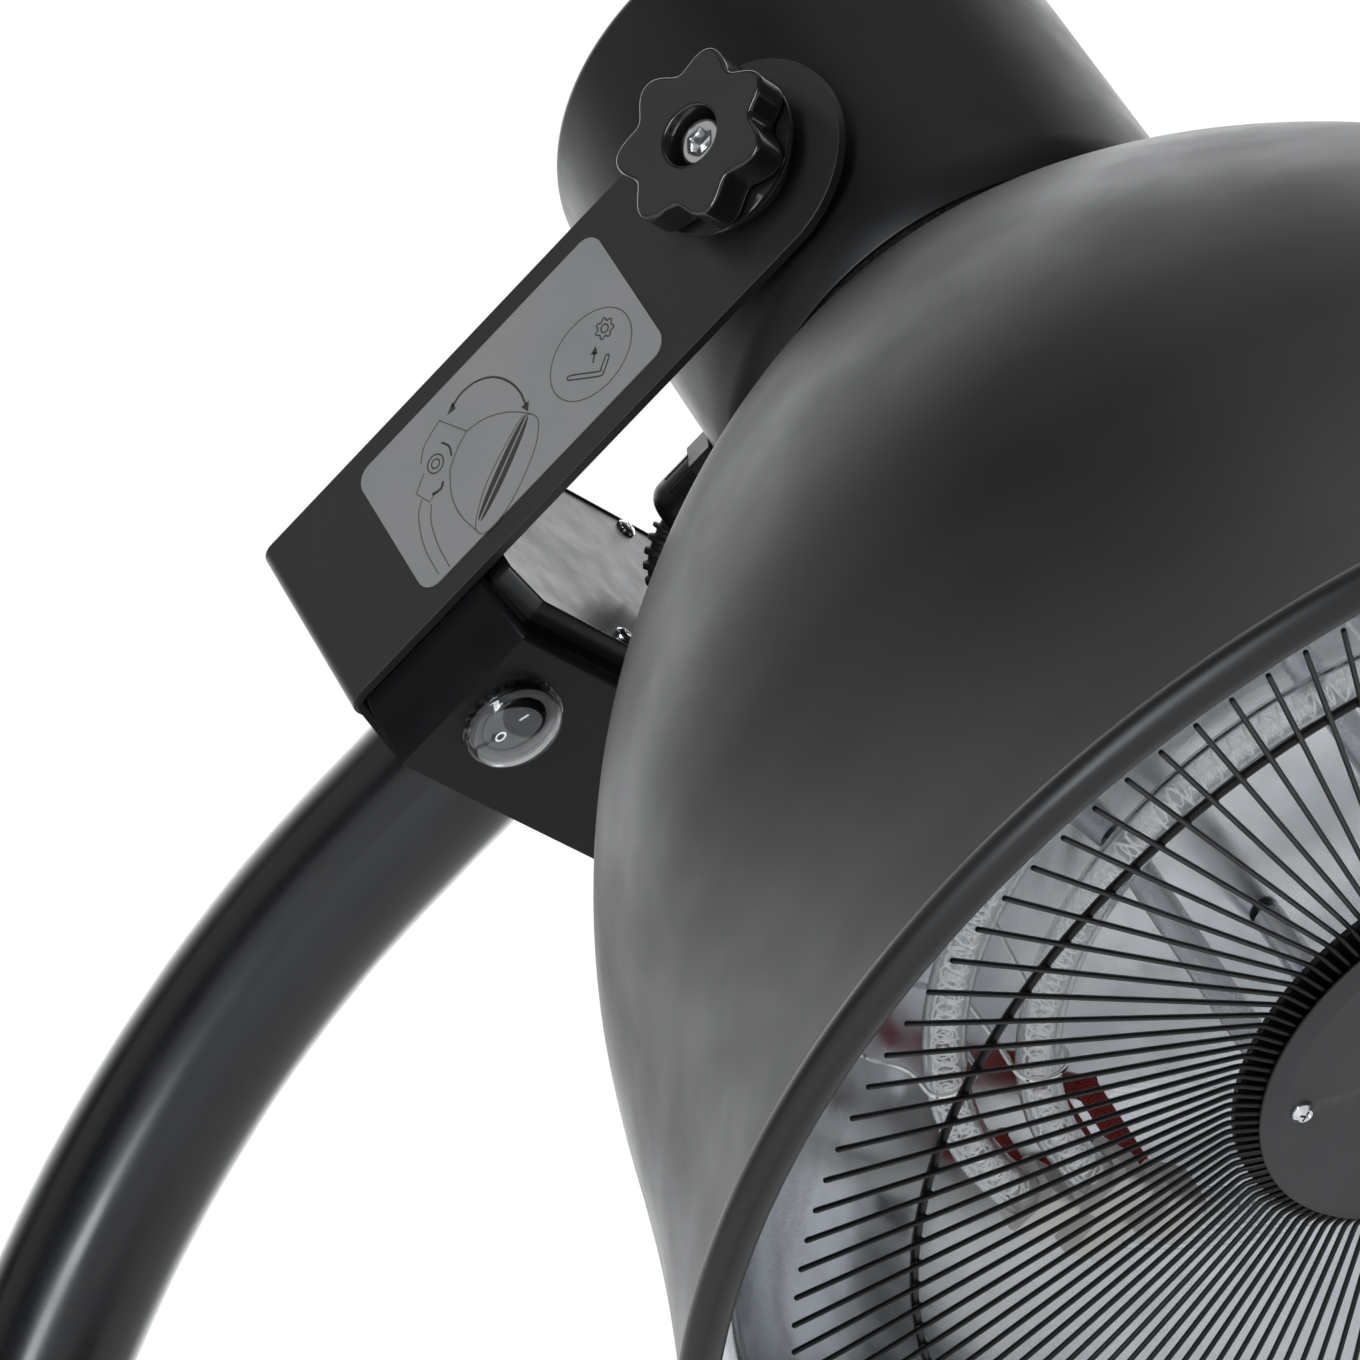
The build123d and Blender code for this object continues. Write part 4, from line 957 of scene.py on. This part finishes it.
def bolt_loops():
    lp = [circ(0.01, -41.0), circ(3.4, -41.0), circ(4.0, -40.4)]
    z = -40.0
    while z < -22.8:
        lp += [circ(4.0, z), circ(3.55, z + 0.62)]
        z += 1.25
    lp += [circ(4.0, -22.2), circ(4.0, -12.0), circ(6.2, -12.0), circ(6.4, -11.7)]
    for z in (-11.2, -10.9, -10.6, -10.2, -7.0, -6.6, -6.3, -6.0):
        amp = 0.14 if -11.0 < z < -6.4 else 0.0
        lp.append([((6.4 + amp * (1 if (i // 4) % 2 else -1)) * cos(2 * pi * i / NK), (6.4 + amp * (1 if (i // 4) % 2 else -1)) * sin(2 * pi * i / NK), z) for i in range(NK)])
    lp += [circ(6.4, -4.9), circ(6.25, -4.4), circ(5.9, -4.1), circ(5.4, -4.0), circ(3.95, -4.0), hexr(3.4, -4.35), hexr(3.4, -8.3), circ(1.9, -8.6), circ(0.01, -9.4)]
    return lp


KFACE = 96.0
for side, name in ((-1, "left"), (1, "right")):
    place = Matrix(((0, 0, side, side * KFACE * 0.001), (0, 1 if side < 0 else -1, 0, 0), (1, 0, 0, 0), (0, 0, 0, 1)))
    # local x runs along w, y along l (mirrored on the far side), z outwards
    for kind, loops, mat, ang in (("knob_", knob_loops(), "knob", 40), ("pivot_bolt_", bolt_loops(), "screw", 35)):
        v, f = rings(loops, close_loops=(kind == "knob_"))
        ob = add(kind.replace("knob_", "star_knob_").replace("pivot_bolt_", "clamp_bolt_") + name, v, f, mat, body=None, head=False, weld=0.02 if kind != "knob_" else 0.0, angle=ang)
        ob.matrix_world = HEAD @ place
        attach(ob, "knob_" + name)
        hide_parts(kind + name)

# ------------------------------------------------------------------ bracket and switch box
bevelled("bracket", 0.35, seg=3)
bevelled("switch_box", 0.35, seg=2)


def outline(side, face, fr, bk, ch=29.6, chb=-31.0):
    return [(-side, ch), (-face, fr), (face, fr), (side, ch), (side, chb), (face, bk), (-face, bk), (-side, chb)]


def inset_loop(pts, d, l, r=1.4, seg=4):
    """the outline moved inwards by d, its corners rounded, at height l"""
    n = len(pts)
    cx = sum(p[0] for p in pts) / n
    cz = sum(p[1] for p in pts) / n
    lines = []
    for i in range(n):
        a, b = Vector(pts[i]), Vector(pts[(i + 1) % n])
        t = (b - a).normalized()
        nr = Vector((-t.y, t.x))
        if nr.dot(Vector((cx, cz)) - a) < 0:
            nr = -nr
        lines.append((a + nr * d, t))
    out = []
    for i in range(n):
        (a, t), (b, s) = lines[i - 1], lines[i]
        k = ((b - a).x * s.y - (b - a).y * s.x) / (t.x * s.y - t.y * s.x)
        q = a + t * k
        out.append((q.x, q.y))
    return [(x, l, z) for x, z in rounded(out, max(r - d * 0.5, 0.3), seg)]


LO = outline(66.0, 58.8, 39.3, -37.9, 29.0, -33.0)
lp = [inset_loop(LO, 1.3, -118.0), inset_loop(LO, 0.1, -118.0), inset_loop(LO, 0.0, -117.8), inset_loop(LO, 0.0, -112.6), inset_loop(LO, 0.06, -112.25),
      inset_loop(LO, 0.22, -111.98), inset_loop(LO, 0.5, -111.85), inset_loop(LO, 0.85, -111.88), inset_loop(LO, 1.08, -112.05), inset_loop(LO, 1.18, -112.3),
      inset_loop(LO, 1.35, -112.46), inset_loop(LO, 1.7, -112.5)]
v, f = rings(lp, cap1=True)
v2, f2 = rings([inset_loop(LO, 1.3, -118.0), inset_loop(LO, 1.3, -113.9), inset_loop(LO, 1.7, -113.6)], cap1=True)
n0 = len(v)
lid = add("lid", list(v) + list(v2), list(f) + [tuple(i + n0 for i in q) for q in f2], "lid", body="stand", nodes=("box_lid",), weld=0.001, angle=40)
LS = [(-22.6, 34.0), (22.6, 34.0), (-22.6, -33.4), (22.6, -33.4)]
cut(lid, [stick(1.7, -115, -110, s, "y") for s in LS] + [stick(6.55, -116, -110, (53.0, -9.0), "y", 40)], 40)
stand_up = Matrix(((1, 0, 0, 0), (0, 0, 1, 0), (0, -1, 0, 0), (0, 0, 0, 1)))      # +Z of the screw onto +l
screws("lid_screw", "lid_screws", [at(s[0], -112.5, s[1]) @ stand_up for s in LS], [15, 60, 30, 80], r=2.9, h=1.7, sr=1.5, shank=9.0, body="stand")

# ------------------------------------------------------------------ rocker, its marks and the clear cap
SW_P, SW_L, FACE_W, RK_W = -46.4, -141.0, 47.7, 44.0
bevelled("rocker", 0.3, seg=2)
g = Geo()
tilt = Matrix.Rotation(radians(8.0), 4, "X")
up_face = tilt @ Matrix.Translation((0, 0, 5.2)) @ Matrix.Rotation(radians(8.0), 4, "X")
dn_face = tilt @ Matrix.Translation((0, 0, 5.2)) @ Matrix.Rotation(radians(-8.0), 4, "X")
base_at = Matrix.Translation((SW_P, SW_L, RK_W))
bar = []
for z in (-0.15, 0.07):
    bar.append([(x, y + 4.1, z) for x, y in rounded([(-0.27, -1.5), (0.27, -1.5), (0.27, 1.5), (-0.27, 1.5)], 0.12, 3)])
g.put(*rings(bar, cap0=True, cap1=True), place=base_at @ up_face)
o = []
for rr, z in ((0.95, -0.15), (0.95, 0.07), (1.45, 0.07), (1.45, -0.15)):
    o.append([(rr * cos(2 * pi * i / 48), -4.1 + rr * 1.15 * sin(2 * pi * i / 48), z) for i in range(48)])
g.put(*rings(o, close_loops=True), place=base_at @ dn_face)
marks = add("rocker_marks", g.v, g.f, "mark", body="rocker", angle=40)

CO, CI = 18.125, 17.1
CZ = 9.6 - CO


def on_cap(R, r):
    return (r, CZ + sqrt(R * R - r * r))


prof = [(11.6, 0.0)] + rounded([(13.35, 0.0), (13.35, 2.4), (12.75, 2.75), (12.55, 3.0)], [0.15, 0.5, 0.2, 0], 3, closed=False)
prof += [on_cap(CO, 12.5 * (1 - (i / 16) ** 1.25)) for i in range(1, 17)]
prof += [on_cap(CI, 11.6 * (i / 16) ** 0.8) for i in range(0, 17)]
v, f = lathe([(r, z) for r, z in prof], 120, closed=True)
capm = add("clear_cap", v, f, "silicone", body=None, head=False, weld=0.001, angle=50)
capm.matrix_world = HEAD @ at(SW_P, SW_L, FACE_W)
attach(capm, "stand")
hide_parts("switch_cap")

# ------------------------------------------------------------------ stand tube
A_LEN, T_W, ST, AR = 166.5, 1.0, 44.0, 300.0
path = [hp(0, -A_LEN, T_W) * 1000, hp(0, -A_LEN - ST * 0.5, T_W) * 1000]
c = hp(0, -A_LEN - ST, T_W + AR) * 1000
for i in range(97):
    a = LEAN + (pi / 2 - LEAN) * i / 96
    # from the straight's end round to the vertical
    path.append(c + Vector((0, AR * sin(a) if False else AR * cos(pi / 2 - a), AR * sin(pi / 2 - a))))
path += [Vector((0, c.y + AR, z)) for z in (1500, 1350, 1200, 1100)]
vo, fo = tube(path, 22.15, 72, ends="open", ref=(1, 0, 0))
vi, fi = tube(path, 20.35, 72, ends="open", ref=(1, 0, 0))
n0, last = len(vo), (len(path) - 1) * 72
faces = list(fo) + [tuple(n0 + i for i in reversed(q)) for q in fi]
for j in range(72):
    k = (j + 1) % 72
    faces.append((j, n0 + j, n0 + k, k))
    faces.append((last + j, last + k, n0 + last + k, n0 + last + j))
arc = add("arched_tube", list(vo) + list(vi), faces, "tube", body="stand", nodes=("arc_tube",), head=False, angle=40)

# ------------------------------------------------------------------ pictogram on the arm's label
LP = -74.3
DW, DL = 2.2, 1.1      # where the print sits on the label


def ribbon(g, pts, wd, per=6, closed=False, sm=True):
    """a thin printed line through (w, l) points"""
    pts = [(a + DW, b + DL) for a, b in pts]
    P = smooth(pts, per, closed) if sm else [Vector(p) for p in pts]
    n = len(P)
    loops = []
    for i in range(n):
        a = P[i - 1] if (i > 0 or closed) else P[i]
        b = P[(i + 1) % n] if (i + 1 < n or closed) else P[i]
        t = (b - a).normalized()
        nr = Vector((-t.y, t.x)) * wd / 2
        q, s = P[i] + nr, P[i] - nr
        loops.append([(LP - 0.035, q.y, q.x), (LP - 0.035, s.y, s.x), (LP + 0.02, s.y, s.x), (LP + 0.02, q.y, q.x)])
    g.put(*rings(loops, close_loops=closed, cap0=not closed, cap1=not closed))


def filled(g, pts):
    lo = [(LP - 0.035, l + DL, w + DW) for w, l in pts]
    hi = [(LP + 0.02, l + DL, w + DW) for w, l in pts]
    g.put(*rings([lo, hi], cap0=True, cap1=True))


g = Geo()
# double-headed arc
arc_pts = [(-18.2, -100.2), (-19.2, -96.1), (-18.2, -91.0), (-15.0, -86.6), (-10.2, -83.8), (-4.8, -82.7), (0.0, -83.2)]
ribbon(g, arc_pts, 0.62)
filled(g, [(-17.4, -102.6), (-19.4, -99.4), (-16.9, -99.6)])
filled(g, [(2.3, -83.7), (-0.6, -84.6), (-0.2, -81.9)])
# hex key, arrow and nut
ribbon(g, [(6.9, -62.2), (4.7, -60.2)], 0.5, sm=False)
filled(g, [(3.5, -59.1), (5.9, -59.9), (4.3, -61.6)])
ribbon(g, [((2.55 + 0.45 * cos(7 * radians(360 * k / 42))) * cos(radians(360 * k / 42)) + 1.5, (2.55 + 0.45 * cos(7 * radians(360 * k / 42))) * sin(radians(360 * k / 42)) - 54.6)
           for k in range(42)], 0.40, 2, closed=True)
ribbon(g, [(1.5 + 1.15 * cos(radians(30 * k)), -54.6 + 1.15 * sin(radians(30 * k))) for k in range(12)], 0.42, closed=True)
ribbon(g, [(4.6, -70.2), (5.6, -69.4), (11.2, -63.2), (12.0, -61.9), (11.4, -60.6), (9.2, -57.6), (8.4, -58.3), (10.2, -61.2), (10.3, -62.2), (4.3, -69.0)], 0.42, 4, closed=True)
# the heater's knob and joint
for r_ in (1.3, 2.6):
    ribbon(g, [(-8.6 + r_ * cos(radians(30 * k)), -112.2 + r_ * sin(radians(30 * k))) for k in range(12)], 0.4, closed=True)
ribbon(g, [(-12.3, -107.8), (-9.4, -106.6), (-6.4, -107.4)], 0.6)
ribbon(g, [(-1.9, -117.4), (-1.2, -114.6), (-2.4, -112.9)], 0.8)
add("label_print", g.v, g.f, "ink", body="stand", angle=60)
g = Geo()
ribbon(g, [(4.3 + 11.2 * cos(radians(15 * k)), -61.4 + 13.6 * sin(radians(15 * k))) for k in range(24)], 0.34, 3, closed=True)
ribbon(g, [(-12.4, -115.6), (-15.8, -112.2), (-18.0, -105.6), (-17.2, -104.7), (-8.6, -100.4)], 0.34)
ribbon(g, [(-8.6, -100.4), (-6.6, -105.2), (-3.4, -109.8)], 0.34)
ribbon(g, [(-8.6, -100.4), (-6.9, -94.2), (-2.6, -88.2), (3.2, -83.6), (6.4, -82.6), (9.2, -84.0), (12.4, -87.0), (16.4, -93.2), (20.0, -101.4),
           (21.0, -108.0), (20.0, -111.6), (17.6, -112.4), (10.2, -113.8), (3.0, -113.0), (-3.4, -109.8)], 0.34, 5, closed=False)
ribbon(g, [(3.2, -83.6), (2.2, -86.4), (4.6, -93.6), (9.2, -103.6), (14.6, -110.4), (17.6, -112.4)], 0.30)
ribbon(g, [(-9.2, -116.2), (-6.2, -121.0), (-0.8, -119.0), (-1.6, -116.2)], 0.36, sm=False)
ribbon(g, [(-3.4, -120.4), (-1.0, -123.0), (4.0, -125.4), (10.5, -126.9), (19.0, -127.2)], 0.34)
ribbon(g, [(0.2, -119.0), (4.7, -121.6), (11.8, -123.2), (19.8, -123.6)], 0.34)
add("label_print_light", g.v, g.f, "ink_grey", body="stand", angle=60)
g = Geo()
for sg in (1, -1):
    lens = []
    for k in range(17):
        t = pi * k / 16
        a_, b_ = 14.6 * cos(t), sg * (0.26 + 1.70 * sin(t))
        ux, uy = 0.46, -0.888
        lens.append((9.6 + ux * a_ - uy * b_, -97.4 + uy * a_ + ux * b_))
    filled(g, lens)
add("label_print_grille", g.v, g.f, "ink", body="stand", angle=60)

# ------------------------------------------------------------------ floor, world and lights
fl = bpy.data.meshes.new("floor")
fl.from_pydata([(-14, -14, -0.0005), (14, -14, -0.0005), (14, 14, -0.0005), (-14, 14, -0.0005)], [], [(0, 1, 2, 3)])
floor = bpy.data.objects.new("floor", fl)
scene.collection.objects.link(floor)
t = Tree("floor_paint")
t.link(t.ramp(t.noise(900.0, 3.0), [(0.3, (0.78, 0.78, 0.78)), (0.7, (0.82, 0.82, 0.82))]), t.bsdf.inputs["Base Color"])
t.set("Roughness", 0.6)
t.set("Emission Color", (0.96, 0.98, 1.0, 1.0))
t.set("Emission Strength", 0.34)
fl.materials.append(t.mat)

world = bpy.data.worlds.new("studio")
scene.world = world
world.use_nodes = True
nt = world.node_tree
for n in list(nt.nodes):
    nt.nodes.remove(n)
tc = nt.nodes.new("ShaderNodeTexCoord")
dot = nt.nodes.new("ShaderNodeVectorMath")
dot.operation = "DOT_PRODUCT"
dot.inputs[1].default_value = Vector((0.72, 0.56, 0.41)).normalized()
nt.links.new(tc.outputs["Generated"], dot.inputs[0])
rng = nt.nodes.new("ShaderNodeMapRange")
rng.interpolation_type = "SMOOTHSTEP"
rng.inputs["From Min"].default_value = 0.34
rng.inputs["From Max"].default_value = 0.96
rng.inputs["To Min"].default_value = 0.055
rng.inputs["To Max"].default_value = 2.1
nt.links.new(dot.outputs["Value"], rng.inputs["Value"])
bg_light = nt.nodes.new("ShaderNodeBackground")
nt.links.new(rng.outputs["Result"], bg_light.inputs["Strength"])
bg_light.inputs["Color"].default_value = (0.97, 0.985, 1.0, 1)
bg_seen = nt.nodes.new("ShaderNodeBackground")
bg_seen.inputs["Color"].default_value = (1, 1, 1, 1)
bg_seen.inputs["Strength"].default_value = 1.02
lp_ = nt.nodes.new("ShaderNodeLightPath")
mix = nt.nodes.new("ShaderNodeMixShader")
nt.links.new(lp_.outputs["Is Camera Ray"], mix.inputs["Fac"])
nt.links.new(bg_light.outputs[0], mix.inputs[1])
nt.links.new(bg_seen.outputs[0], mix.inputs[2])
wo = nt.nodes.new("ShaderNodeOutputWorld")
nt.links.new(mix.outputs[0], wo.inputs["Surface"])


def softbox(name, direction, dist, size, power, target=(0, -0.03, 1.90), color=(1, 1, 1), size_y=None, spread=180):
    d = Vector(direction).normalized()
    la = bpy.data.lights.new(name, "AREA")
    la.shape = "RECTANGLE"
    la.size, la.size_y = size, size_y or size
    la.energy = power
    la.color = color
    la.spread = radians(spread)
    ob = bpy.data.objects.new(name, la)
    scene.collection.objects.link(ob)
    ob.location = Vector(target) + d * dist
    ob.rotation_mode = "QUATERNION"
    ob.rotation_quaternion = d.to_track_quat("Z", "Y")
    return ob


softbox("side_strip", (-0.96, -0.26, -0.12), 2.4, 0.50, 34, size_y=1.6, color=(0.90, 0.95, 1.0))
softbox("left_sheet", (-0.72, 0.56, 0.41), 2.6, 1.6, 3.2)
softbox("top_fill", (-0.35, -0.2, 0.92), 2.2, 1.4, 3)
